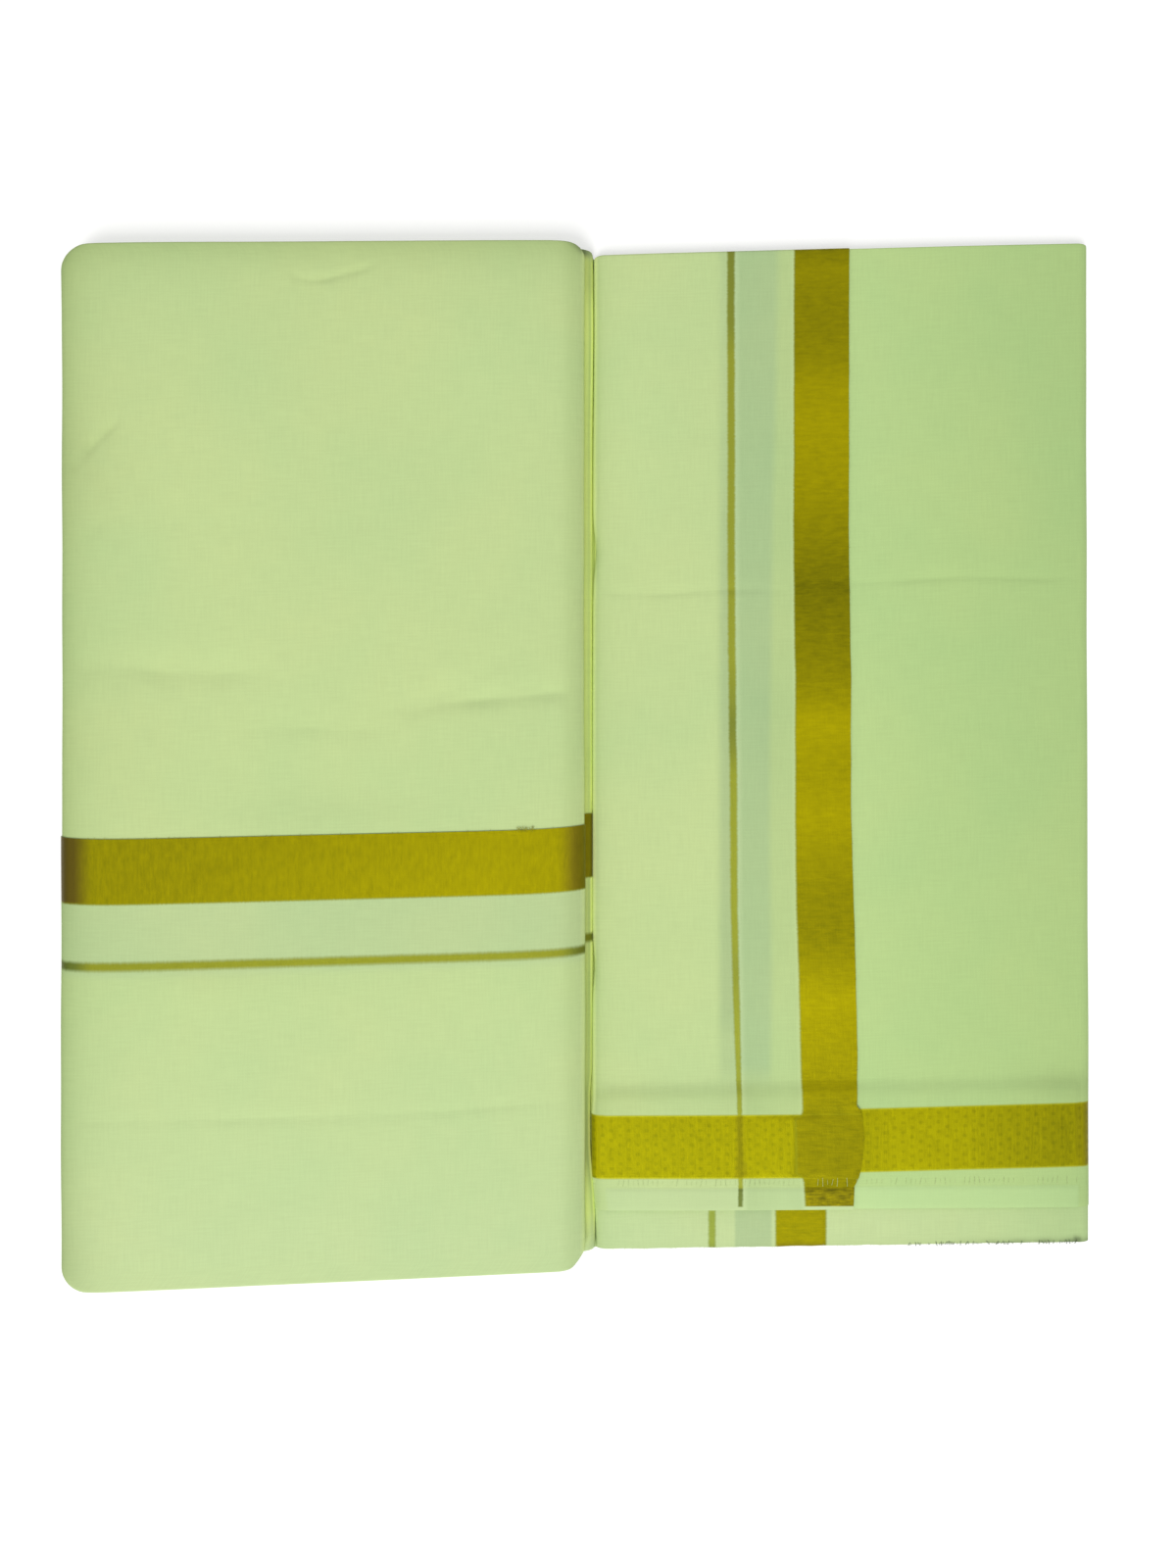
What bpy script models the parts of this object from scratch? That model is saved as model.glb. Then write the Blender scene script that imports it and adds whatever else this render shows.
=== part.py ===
"""A cream cotton dhoti with woven gold borders, folded and laid flat in two leaves.

The thick left leaf is the cloth folded to sixteen layers, its border lying level.  The thin
right leaf is its opened end, eight layers, with the border upright and the end band across
its foot.  Each stretch of cloth that shows is a wall one millimetre thick.  The layers
between them share one rounded solid in each leaf, grooved at its two ends, where the folded
edges lie on each other.

Metres, +Z up.  The cloth lies on z = 0, the leaves stand side by side along X, and the
origin is under the middle of the whole.
"""
import math
from collections import namedtuple

import bmesh
import bpy

MM = 0.001

# ---------------------------------------------------------------- driving dimensions
CLOTH = 1.0 * MM              # wall of one layer
GAP = 0.3 * MM                # air between two layers, and at a seam
PITCH = CLOTH + GAP
HALF_GAP = GAP / 2

LEFT_LAYERS = 16
RIGHT_LAYERS = 8
LEFT_TALL = LEFT_LAYERS * PITCH - GAP
RIGHT_TALL = RIGHT_LAYERS * PITCH - GAP

# Left leaf, seen from above
LEFT_X = -317.8 * MM          # outside of the round fold on the left
UPPER_FOLD_X = 5.2 * MM       # outside of the upper right fold
LOWER_FOLD_X = 9.3 * MM       # outside of the lower right fold, which stands proud
LEFT_FOOT_Y = -324.4 * MM     # bottom fold, at the leaf's left side
LEFT_HEAD_Y = 317.9 * MM      # top fold, at the leaf's left side
LEVEL_SELVEDGE_Y = -47.3 * MM  # woven edge of the front flap, at the leaf's left side
LEFT_REACH = 9.0 * MM         # how far its side folds round in from their outsides
TUCK = 14.0 * MM              # how far a fold's inner layer runs back into the leaf
LEFT_CORNER = 15.0 * MM
RIGHT_CORNER = 10.0 * MM
RETURN_RUN = 2.0 * MM         # how far a folded end turns back beside its own layer

# Right leaf, seen from above
SEAM_X = 10.2 * MM            # outside of its left fold
RIGHT_X = 317.8 * MM          # outside of its right fold
RIGHT_HEAD_Y = 316.2 * MM     # top fold, at the leaf's left side
HEM_Y = -275.8 * MM           # end hem of the upper layers
RIGHT_FOOT_Y = -303.3 * MM    # end of the lower layers, at the leaf's left side
RIGHT_REACH = 7.0 * MM        # how far its side folds round in
SPLIT_X = 160.0 * MM          # seam between two stretches, on the underside
HEM_DEEP = 12.0 * MM          # turned end hem
HEM_PROUD = 0.5 * MM
SOFT_CORNER = 3.0 * MM
LOWER_SIDE = 0.6 * MM         # how far the lower layer stays in from the side folds
EDGE_CLEAR = 1.0 * MM         # from the flap's woven edge to the full height beside it

# Strip of cloth under the two side folds that meet, from one leaf to the other
JOIN_LEFT_X = 6.5 * MM
JOIN_RIGHT_X = 12.2 * MM
JOIN_FOOT_Y = -290.0 * MM
JOIN_HEAD_Y = 305.0 * MM

PUFF = 0.6 * MM               # soft swell of the top of each leaf
GROOVE = 1.6 * MM             # between two folded edges
CORE_SLACK = 2.3 * MM         # hidden layers keep this far inside the walls' corners

CREAM = (0.80, 0.83, 0.62, 1.0)
SHADED_CREAM = (0.70, 0.75, 0.52, 1.0)

# How finely the walls are divided
ROW_STEP = 60 * MM
FOLD_STEPS = 6
SPINE_STEPS = 10
LEFT_TOP_STEPS = 12
RIGHT_SPINE_STEPS = 8
FLAP_TOP_STEPS = 8
PANEL_TOP_STEPS = 6
CORNER_ROWS = (2.5 * MM, 5.0 * MM, 9.0 * MM, 15.0 * MM)
CORE_ROWS = (0.0, 1.5 * MM, 4.5 * MM, 9.0 * MM, 15.0 * MM)
HEAD_ROWS = (1.0 * MM, 3.0 * MM)
LOBE_SHARES = (0.0, 0.12, 0.5, 0.88)
SAME = 1e-7                   # two levels nearer than this are one

# ---------------------------------------------------------------- short tables
# How far the cloth's level lines lean: rise along X for each metre, at a height y.
Lean = namedtuple("Lean", "y rise")
LEFT_LEAN = (
    Lean(LEFT_FOOT_Y, 0.045),
    Lean(LEVEL_SELVEDGE_Y, 0.023),
    Lean(LEFT_HEAD_Y, 0.006),
)
RIGHT_LEAN = (
    Lean(RIGHT_FOOT_Y, 0.0147),
    Lean(HEM_Y, 0.005),
    Lean(RIGHT_HEAD_Y, 0.0265),
)
LEVEL_FROM_X = {LEFT_LEAN: LEFT_X + LEFT_CORNER, RIGHT_LEAN: SEAM_X}

# The upright woven edge of the right leaf's flap wanders a little on its way down.
Edge = namedtuple("Edge", "y x")
UPRIGHT_SELVEDGE = (
    Edge(HEM_Y, 171.7 * MM),
    Edge(-156.0 * MM, 172.9 * MM),
    Edge(-59.0 * MM, 171.1 * MM),
    Edge(47.0 * MM, 169.9 * MM),
    Edge(132.0 * MM, 168.7 * MM),
    Edge(RIGHT_HEAD_Y, 168.7 * MM),
)

# Soft troughs in the top of a leaf: middle line, ends along X, half width and depth.
Trough = namedtuple("Trough", "y x_from x_to half deep")
LEFT_TROUGHS = (
    Trough(63.0 * MM, -300 * MM, -215 * MM, 9 * MM, 0.5 * MM),
    Trough(22.0 * MM, -210 * MM, -115 * MM, 9 * MM, 0.5 * MM),
    Trough(40.0 * MM, -75 * MM, 0 * MM, 9 * MM, 0.5 * MM),
    Trough(-221.0 * MM, -250 * MM, 0 * MM, 8 * MM, 0.45 * MM),
)
RIGHT_TROUGHS = (
    Trough(110.0 * MM, 15 * MM, 310 * MM, 7 * MM, 0.45 * MM),
    Trough(-203.0 * MM, 15 * MM, 310 * MM, 8 * MM, 0.6 * MM),
)

# How far the left leaf's middle layer lies inside the leaf's outline: below its top, above
# the floor, and behind the slot between its two right folds.
Sink = namedtuple("Sink", "y top base tuck")
MIDDLE_SINK = (
    Sink(LEFT_FOOT_Y, PITCH, PITCH, PITCH),
    Sink(LEVEL_SELVEDGE_Y, PITCH, PITCH, PITCH),
    Sink(LEVEL_SELVEDGE_Y + 22 * MM, 1.0 * MM, 0.0, 0.6 * MM),
    Sink(LEVEL_SELVEDGE_Y + 70 * MM, 0.6 * MM, 0.0, 0.0),
    Sink(LEFT_HEAD_Y - 40 * MM, 0.4 * MM, 0.0, 0.0),
    Sink(LEFT_HEAD_Y - 12 * MM, 0.0, 0.0, 0.0),
    Sink(LEFT_HEAD_Y, 0.0, 0.0, 0.0),
)

# Each folded edge of the left leaf's hidden layers ends a little further in than the fold
# round it, and unlike the next: from the foot and from the head, lowest edge first.
Ends = namedtuple("Ends", "foot head")
LEFT_ENDS = (
    Ends(1.2 * MM, 1.8 * MM),
    Ends(2.4 * MM, 1.0 * MM),
    Ends(0.8 * MM, 2.0 * MM),
    Ends(2.0 * MM, 0.8 * MM),
    Ends(1.0 * MM, 2.4 * MM),
    Ends(1.8 * MM, 1.2 * MM),
)

# The right leaf's layers have cut ends at the foot, and lie in folded pairs at the head.
RIGHT_ENDS = (
    Ends(1.0 * MM, 0.9 * MM),
    Ends(2.6 * MM, 0.9 * MM),
    Ends(1.6 * MM, 2.2 * MM),
    Ends(3.2 * MM, 2.2 * MM),
)

# A point of a wall's section: place along the leaf, and depth under the wall's outer face.
Stitch = namedtuple("Stitch", "y deep")


# ---------------------------------------------------------------- small helpers
def read_table(rows, y, column):
    """Value of a table's column at a height y, on straight lines between its rows."""
    if y <= rows[0].y:
        return getattr(rows[0], column)
    for low, high in zip(rows, rows[1:]):
        if y <= high.y:
            share = (y - low.y) / (high.y - low.y)
            return getattr(low, column) * (1 - share) + getattr(high, column) * share
    return getattr(rows[-1], column)


def spread(first, last, steps):
    """Evenly spaced values, with both ends."""
    return [first + (last - first) * step / steps for step in range(steps + 1)]


def corner_inset(from_end, radius):
    """How far a rounded corner pulls the side in, at a distance from the leaf's end."""
    if from_end >= radius:
        return 0.0
    run = radius - max(from_end, 0.0)
    return radius - math.sqrt(radius * radius - run * run)


def arc(centre_x, centre_z, reach, half_tall, start, end, steps):
    """Points on part of an upright ellipse, its angles in degrees."""
    points = []
    for degrees in spread(start, end, steps):
        angle = math.radians(degrees)
        points.append((centre_x + reach * math.cos(angle), centre_z + half_tall * math.sin(angle)))
    return points


def bow(z, centre_z, half_tall, reach):
    """How far a round fold stands out at a height z."""
    share = (z - centre_z) / half_tall
    return reach * math.sqrt(max(0.0, 1 - share * share))


def groove(z, low, pitch, deep):
    """How far the groove between two folded edges cuts in, at a height z."""
    share = ((z - low) / pitch) % 1.0
    return deep - bow(share, 0.5, 0.5, deep)


def swell(x, y, x_from, x_to, troughs):
    """Height that the soft top adds: a low crown, with the troughs pressed into it."""
    across = (2 * x - x_from - x_to) / (x_to - x_from)
    height = PUFF * max(0.0, 1 - across ** 4)
    for trough in troughs:
        away = abs(y - trough.y) / trough.half
        if away < 1 and trough.x_from < x < trough.x_to:
            along = (x - trough.x_from) / (trough.x_to - trough.x_from)
            height -= trough.deep * (1 - away) * math.sqrt(math.sin(math.pi * along))
    return max(height, 0.0)


def row_heights(first, last, troughs, wanted=()):
    """Heights along a leaf: its ends, each trough, the wanted ones and even steps between."""
    heights = set(wanted)
    for trough in troughs:
        heights |= {trough.y - trough.half, trough.y, trough.y + trough.half}
    ordered = sorted({y for y in heights if first < y < last} | {first, last})
    filled = []
    for low, high in zip(ordered, ordered[1:]):
        steps = max(1, round((high - low) / ROW_STEP))
        filled += spread(low, high, steps)[:-1]
    return filled + [last]


# ---------------------------------------------------------------- making an object
def cotton(name, colour):
    """Plain cotton for one node."""
    material = bpy.data.materials.new(name)
    material.use_nodes = True
    shader = material.node_tree.nodes["Principled BSDF"]
    shader.inputs["Base Color"].default_value = colour
    shader.inputs["Roughness"].default_value = 0.85
    shader.inputs["Metallic"].default_value = 0.0
    return material


def finish(name, form, colour, collection):
    """Turn a bmesh into a smooth named object with its faces outwards."""
    bmesh.ops.recalc_face_normals(form, faces=form.faces)
    mesh = bpy.data.meshes.new(name)
    form.to_mesh(mesh)
    form.free()
    mesh.shade_smooth()
    mesh.set_sharp_from_angle(angle=math.radians(50))
    mesh.materials.append(cotton(name + "_cotton", colour))
    collection.objects.link(bpy.data.objects.new(name, mesh))


def add_row(form, points, y, lean):
    """Vertices for (x, z) points at a height y, leaning with the cloth's level lines."""
    rise = read_table(lean, y, "rise")
    level_from = LEVEL_FROM_X[lean]
    return [form.verts.new((x, y + rise * (x - level_from), z)) for x, z in points]


def skin(form, rows):
    """Quads between neighbouring rows of vertices."""
    for row, other in zip(rows, rows[1:]):
        for step in range(len(row) - 1):
            form.faces.new((row[step], row[step + 1], other[step + 1], other[step]))


def wall(name, outer, inner, section, lean, collection):
    """One stretch of cloth: its section in X and Z, run along the leaf between two faces.

    outer and inner are matching lists of Stitch, and section gives the X and Z of one.
    """
    form = bmesh.new()
    outside = [add_row(form, section(stitch), stitch.y, lean) for stitch in outer]
    inside = [add_row(form, section(stitch), stitch.y, lean) for stitch in inner]
    skin(form, outside)
    skin(form, inside)
    for end in (0, -1):
        skin(form, [outside[end], inside[end]])
        skin(form, [[row[end] for row in outside], [row[end] for row in inside]])
    finish(name, form, CREAM, collection)


def stack(name, rings, lean, collection):
    """A solid lofted up through level rings of (x, y, z) points."""
    form = bmesh.new()
    rows = [[add_row(form, [(x, z)], y, lean)[0] for x, y, z in ring] for ring in rings]
    for low, high in zip(rows, rows[1:]):
        for step, vert in enumerate(low):
            after = (step + 1) % len(low)
            form.faces.new((vert, low[after], high[after], high[step]))
    form.faces.new(rows[0])
    form.faces.new(rows[-1])
    finish(name, form, SHADED_CREAM, collection)


# ---------------------------------------------------------------- left leaf
def left_section(y, top, base, tuck):
    """The thick leaf's section, from its upper tuck over the top round to its lower tuck."""
    from_end = min(y - LEFT_FOOT_Y, LEFT_HEAD_Y - y) - top / 2
    pull = corner_inset(from_end, RIGHT_CORNER)
    x_spine = LEFT_X + corner_inset(from_end, LEFT_CORNER) + LEFT_REACH
    x_upper = UPPER_FOLD_X - pull - LEFT_REACH
    x_lower = LOWER_FOLD_X - pull - LEFT_REACH
    z_top = LEFT_TALL - top
    z_over = LEFT_TALL / 2 + HALF_GAP + tuck
    z_under = LEFT_TALL / 2 - HALF_GAP - tuck

    points = [(x_upper - TUCK, z_over)]
    points += arc(x_upper, (z_top + z_over) / 2, LEFT_REACH - top, (z_top - z_over) / 2,
                  -90, 90, FOLD_STEPS)
    for x in spread(x_upper, x_spine, LEFT_TOP_STEPS)[1:-1]:
        points.append((x, z_top + swell(x, y, x_spine, x_upper, LEFT_TROUGHS)))
    points += arc(x_spine, (z_top + base) / 2, LEFT_REACH - top, (z_top - base) / 2,
                  90, 270, SPINE_STEPS)
    points += arc(x_lower, (z_under + base) / 2, LEFT_REACH - base, (z_under - base) / 2,
                  -90, 90, FOLD_STEPS)
    points.append((x_lower - TUCK, z_under))
    return points


def flap_section(stitch):
    """The front flap is the outermost layer all round."""
    return left_section(stitch.y, stitch.deep, stitch.deep, stitch.deep)


def middle_section(stitch):
    """The middle layer lies inside the flap, and takes its place above the flap's edge."""
    top, base, tuck = (read_table(MIDDLE_SINK, stitch.y, column) + stitch.deep
                       for column in ("top", "base", "tuck"))
    return left_section(stitch.y, top, base, tuck)


def folded_end(end_y, inward):
    """Outer and inner stitches where a wall turns under at a folded end.

    inward is +1 where the leaf lies above the end and -1 where it lies below.
    """
    radius = CLOTH + HALF_GAP
    centre = end_y + inward * radius
    outer = []
    inner = []
    for angle in spread(0.0, math.pi, 4):
        outer.append(Stitch(centre - inward * radius * math.sin(angle),
                            radius - radius * math.cos(angle)))
        inner.append(Stitch(centre - inward * HALF_GAP * math.sin(angle),
                            radius - HALF_GAP * math.cos(angle)))
    outer.append(Stitch(centre + inward * RETURN_RUN, 2 * radius))
    inner.append(Stitch(centre + inward * RETURN_RUN, PITCH))
    return outer, inner


def cut_face(heights):
    """Matching outer and inner stitches where a wall lies plain."""
    return [Stitch(y, 0.0) for y in heights], [Stitch(y, CLOTH) for y in heights]


def make_front_flap(collection):
    """Front flap: up from the bottom fold to its woven edge."""
    foot = [LEFT_FOOT_Y + run for run in CORNER_ROWS]
    plain_out, plain_in = cut_face(row_heights(foot[0], LEVEL_SELVEDGE_Y, LEFT_TROUGHS, foot))
    fold_out, fold_in = folded_end(LEFT_FOOT_Y, +1)
    wall("front_flap", fold_out[::-1] + plain_out, fold_in[::-1] + plain_in,
         flap_section, LEFT_LEAN, collection)


def make_middle_layer(collection):
    """Middle layer: under the flap from the bottom fold, and in sight up to the top fold."""
    start = LEFT_FOOT_Y + CLOTH + HALF_GAP + RETURN_RUN + GAP
    foot = [LEFT_FOOT_Y + run for run in CORNER_ROWS[1:]]
    head = [LEFT_HEAD_Y - run for run in CORNER_ROWS]
    sinks = [sink.y for sink in MIDDLE_SINK]
    heights = row_heights(start, head[0], LEFT_TROUGHS, foot + head + sinks)
    plain_out, plain_in = cut_face(heights)
    fold_out, fold_in = folded_end(LEFT_HEAD_Y, -1)
    wall("middle_layer", plain_out + fold_out, plain_in + fold_in,
         middle_section, LEFT_LEAN, collection)


def left_ring(z, from_foot, from_head):
    """Level outline of the left leaf's hidden layers."""
    inside = 2 * PITCH
    reach = LEFT_REACH - inside
    fold_half = (LEFT_TALL / 2 - HALF_GAP) / 2 - inside
    upper_z = LEFT_TALL - inside - fold_half
    lower_z = inside + fold_half
    if abs(z - upper_z) <= fold_half + SAME:
        x_right = UPPER_FOLD_X - LEFT_REACH + bow(z, upper_z, fold_half, reach)
    elif abs(z - lower_z) <= fold_half + SAME:
        x_right = LOWER_FOLD_X - LEFT_REACH + bow(z, lower_z, fold_half, reach)
    else:
        x_right = UPPER_FOLD_X - LEFT_REACH - TUCK - CLOTH
    x_left = LEFT_X + LEFT_REACH - bow(z, LEFT_TALL / 2, LEFT_TALL / 2 - inside, reach)

    foot = [(LEFT_FOOT_Y + from_foot + run, from_foot + run) for run in CORE_ROWS]
    head = [(LEFT_HEAD_Y - from_head - run, from_head + run) for run in reversed(CORE_ROWS)]
    left_side = []
    right_side = []
    for y, from_end in foot + head:
        left_pull = corner_inset(from_end - CORE_SLACK, LEFT_CORNER)
        right_pull = corner_inset(from_end - CORE_SLACK, RIGHT_CORNER)
        left_side.append((x_left + left_pull, y, z))
        right_side.append((x_right - right_pull, y, z))
    return left_side + right_side[::-1]


def make_left_core(collection):
    """Hidden layers of the left leaf, with a folded edge for each two layers."""
    low = 2 * PITCH
    high = LEFT_TALL - low
    pitch = (high - low) / len(LEFT_ENDS)
    fold_tall = LEFT_TALL / 2 - HALF_GAP - 2 * low
    levels = [low + (index + share) * pitch for index in range(len(LEFT_ENDS))
              for share in LOBE_SHARES]
    for slot_z in (low + fold_tall, high - fold_tall):
        levels += [slot_z - 2 * SAME, slot_z + 2 * SAME]
    rings = []
    for z in sorted(levels) + [high]:
        ends = LEFT_ENDS[min(int((z - low) / pitch), len(LEFT_ENDS) - 1)]
        cut = groove(z, low, pitch, GROOVE)
        rings.append(left_ring(z, ends.foot + cut, ends.head + cut))
    stack("left_hidden_layers", rings, LEFT_LEAN, collection)


# ---------------------------------------------------------------- right leaf
PANEL_TOP = RIGHT_TALL - PITCH        # top of the stretch that runs in under the flap
LOWER_TOP = PANEL_TOP - PITCH         # top of the layer that shows below the hem


def right_top(x, stitch, z_top):
    """Height of an upper layer's outer or inner face, with the turned hem a little proud."""
    on_hem = stitch.deep == 0 and stitch.y <= HEM_Y + HEM_DEEP
    soft = swell(x, stitch.y, SEAM_X + RIGHT_REACH, RIGHT_X - RIGHT_REACH, RIGHT_TROUGHS)
    return z_top - stitch.deep + soft + (HEM_PROUD if on_hem else 0.0)


def upright_flap_section(stitch):
    """From the flap's woven edge over the top, round the left fold and half way under."""
    deep = stitch.deep
    x_edge = read_table(UPRIGHT_SELVEDGE, stitch.y, "x")
    pull = corner_inset(RIGHT_HEAD_Y - stitch.y - deep / 2, SOFT_CORNER)
    x_spine = SEAM_X + RIGHT_REACH + pull
    points = [(x, right_top(x, stitch, RIGHT_TALL))
              for x in spread(x_edge, x_spine, FLAP_TOP_STEPS)[:-1]]
    points += arc(x_spine, RIGHT_TALL / 2, RIGHT_REACH - deep, RIGHT_TALL / 2 - deep,
                  90, 270, RIGHT_SPINE_STEPS)
    points.append((SPLIT_X - HALF_GAP, deep))
    return points


def back_panel_section(stitch):
    """From half way under round the right fold, over the top and in below the flap."""
    deep = stitch.deep
    x_edge = read_table(UPRIGHT_SELVEDGE, stitch.y, "x")
    pull = corner_inset(RIGHT_HEAD_Y - stitch.y - deep / 2, SOFT_CORNER)
    x_spine = RIGHT_X - RIGHT_REACH - pull
    points = [(SPLIT_X + HALF_GAP, deep)]
    points += arc(x_spine, PANEL_TOP / 2, RIGHT_REACH - deep, PANEL_TOP / 2 - deep,
                  -90, 90, RIGHT_SPINE_STEPS)
    for x in spread(x_spine, x_edge + EDGE_CLEAR, PANEL_TOP_STEPS)[1:]:
        points.append((x, right_top(x, stitch, PANEL_TOP)))
    under_flap = Stitch(max(stitch.y, HEM_Y + HEM_DEEP + SAME), deep)
    for x in spread(x_edge, SEAM_X + 2 * RIGHT_REACH, PANEL_TOP_STEPS):
        points.append((x, right_top(x, under_flap, PANEL_TOP)))
    return points


def lower_layer_section(stitch):
    """All round the leaf's foot, below the hem of the upper layers."""
    deep = stitch.deep
    x_left = SEAM_X + RIGHT_REACH
    x_right = RIGHT_X - RIGHT_REACH
    half = LOWER_TOP / 2
    reach = RIGHT_REACH - LOWER_SIDE - deep
    points = [(SPLIT_X + HALF_GAP, deep)]
    points += arc(x_right, half, reach, half - deep, -90, 90, RIGHT_SPINE_STEPS)
    points += arc(x_left, half, reach, half - deep, 90, 270, RIGHT_SPINE_STEPS)
    points.append((SPLIT_X - HALF_GAP, deep))
    return points


def make_right_walls(collection):
    """The three stretches of the right leaf that show."""
    hem_top = HEM_Y + HEM_DEEP
    wanted = [HEM_Y + HEM_DEEP / 2, hem_top, hem_top + HEM_PROUD]
    wanted += [RIGHT_HEAD_Y - run for run in HEAD_ROWS]
    wanted += [edge.y for edge in UPRIGHT_SELVEDGE]
    faces = cut_face(row_heights(HEM_Y, RIGHT_HEAD_Y, RIGHT_TROUGHS, wanted))
    wall("upright_flap", *faces, upright_flap_section, RIGHT_LEAN, collection)
    wall("back_panel", *faces, back_panel_section, RIGHT_LEAN, collection)
    foot = cut_face([RIGHT_FOOT_Y, HEM_Y - GAP])
    wall("lower_layer", *foot, lower_layer_section, RIGHT_LEAN, collection)


def right_ring(z, foot_y, head_y):
    """Level outline of the right leaf's hidden layers."""
    reach = RIGHT_REACH - PITCH - LOWER_SIDE
    x_left = SEAM_X + RIGHT_REACH
    x_right = RIGHT_X - RIGHT_REACH
    if z < LOWER_TOP - PITCH + SAME:
        side = bow(z, LOWER_TOP / 2, LOWER_TOP / 2 - PITCH, reach)
        x_left -= side
        x_right += side
    rows = [(foot_y, SOFT_CORNER), (foot_y + SOFT_CORNER, 0.0),
            (head_y - SOFT_CORNER, 0.0), (head_y, SOFT_CORNER)]
    left_side = [(x_left + pull, y, z) for y, pull in rows]
    right_side = [(x_right - pull, y, z) for y, pull in rows]
    return left_side + right_side[::-1]


def make_right_core(collection):
    """Hidden layers of the right leaf: cut ends at the foot and folded pairs at the head."""
    low = PITCH
    ledge_z = LOWER_TOP - PITCH
    pitch = (ledge_z - low) / len(RIGHT_ENDS)
    rings = []
    for index, ends in enumerate(RIGHT_ENDS):
        for share in LOBE_SHARES:
            z = low + (index + share) * pitch
            rings.append(right_ring(z, RIGHT_FOOT_Y + ends.foot + groove(z, low, pitch, CLOTH),
                                    RIGHT_HEAD_Y - ends.head - groove(z, low, 2 * pitch, GROOVE)))
    last = RIGHT_ENDS[-1]
    head_y = RIGHT_HEAD_Y - last.head - GROOVE
    rings.append(right_ring(ledge_z, RIGHT_FOOT_Y + last.foot + CLOTH, head_y))
    for z in (ledge_z + 2 * SAME, PANEL_TOP - PITCH):
        rings.append(right_ring(z, HEM_Y + CLOTH, head_y))
    stack("right_hidden_layers", rings, RIGHT_LEAN, collection)


# ---------------------------------------------------------------- between the leaves
def make_joining_fold(collection):
    """The cloth runs on from one leaf to the other, flat on the floor under their folds."""
    faces = cut_face(spread(JOIN_FOOT_Y, JOIN_HEAD_Y, 2))
    wall("joining_fold", *faces,
         lambda stitch: [(JOIN_LEFT_X, stitch.deep), (JOIN_RIGHT_X, stitch.deep)],
         RIGHT_LEAN, collection)


# ---------------------------------------------------------------- the whole cloth
def clear_scene():
    """Start from an empty scene."""
    for old in list(bpy.data.objects):
        bpy.data.objects.remove(old, do_unlink=True)


def main():
    """Build every stretch of the folded cloth."""
    clear_scene()
    collection = bpy.data.collections.new("folded_dhoti")
    bpy.context.scene.collection.children.link(collection)
    make_left_core(collection)
    make_middle_layer(collection)
    make_front_flap(collection)
    make_right_core(collection)
    make_right_walls(collection)
    make_joining_fold(collection)


main()
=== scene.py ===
# %% [markdown]
# # A folded dhoti with woven gold borders
#
# A dhoti is one long length of fine cream cotton, worn wrapped round the waist. This one
# is new and pressed. It is folded into two leaves that lie side by side: a thick leaf of
# sixteen layers, whose gold border lies level, and a thin leaf of eight layers, whose
# border stands upright and crosses the gold band woven across the end of the cloth.
#
# The solids of the frame give every stretch of cloth its place. Here each one becomes a
# fine sheet with creases, a weave and gold threads.

# %% Load the frame
import math
from collections import namedtuple

import bmesh
import bpy
import numpy as np
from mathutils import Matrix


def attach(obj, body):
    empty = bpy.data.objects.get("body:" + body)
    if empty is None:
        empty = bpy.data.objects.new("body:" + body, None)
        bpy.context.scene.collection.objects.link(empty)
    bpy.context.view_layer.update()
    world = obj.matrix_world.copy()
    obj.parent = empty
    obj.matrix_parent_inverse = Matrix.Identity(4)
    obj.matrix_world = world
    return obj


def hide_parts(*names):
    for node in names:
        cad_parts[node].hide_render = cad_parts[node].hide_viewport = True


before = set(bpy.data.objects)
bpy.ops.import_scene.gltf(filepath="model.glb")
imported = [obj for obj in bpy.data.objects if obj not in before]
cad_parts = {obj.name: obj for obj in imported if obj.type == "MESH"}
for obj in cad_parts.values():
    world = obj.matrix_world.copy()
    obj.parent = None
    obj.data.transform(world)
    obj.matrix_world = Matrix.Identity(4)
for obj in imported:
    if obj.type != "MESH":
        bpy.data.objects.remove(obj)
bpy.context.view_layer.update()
print("frame:", ", ".join(sorted(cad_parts)))

# %% [markdown]
# ## The sizes of the folded cloth
#
# The sheets lie on the frame's solids, so they are worked out from the same sizes. Metres
# are awkward for cloth, so the sizes are written as millimetres times MM.

# %% Sizes shared with the frame
MM = 0.001
CLOTH = 1.0 * MM              # wall of one layer in the frame
GAP = 0.3 * MM
PITCH = CLOTH + GAP
HALF_GAP = GAP / 2
LEFT_TALL = 16 * PITCH - GAP
RIGHT_TALL = 8 * PITCH - GAP

LEFT_X = -317.8 * MM          # left fold of the thick leaf
UPPER_FOLD_X = 5.2 * MM       # its upper right fold
LOWER_FOLD_X = 9.3 * MM       # its lower right fold, which stands proud
LEFT_FOOT_Y = -324.4 * MM
LEFT_HEAD_Y = 317.9 * MM
LEVEL_SELVEDGE_Y = -47.3 * MM
LEFT_REACH = 9.0 * MM
TUCK = 14.0 * MM
LEFT_CORNER = 15.0 * MM
RIGHT_CORNER = 10.0 * MM
RETURN_RUN = 2.0 * MM

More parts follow.
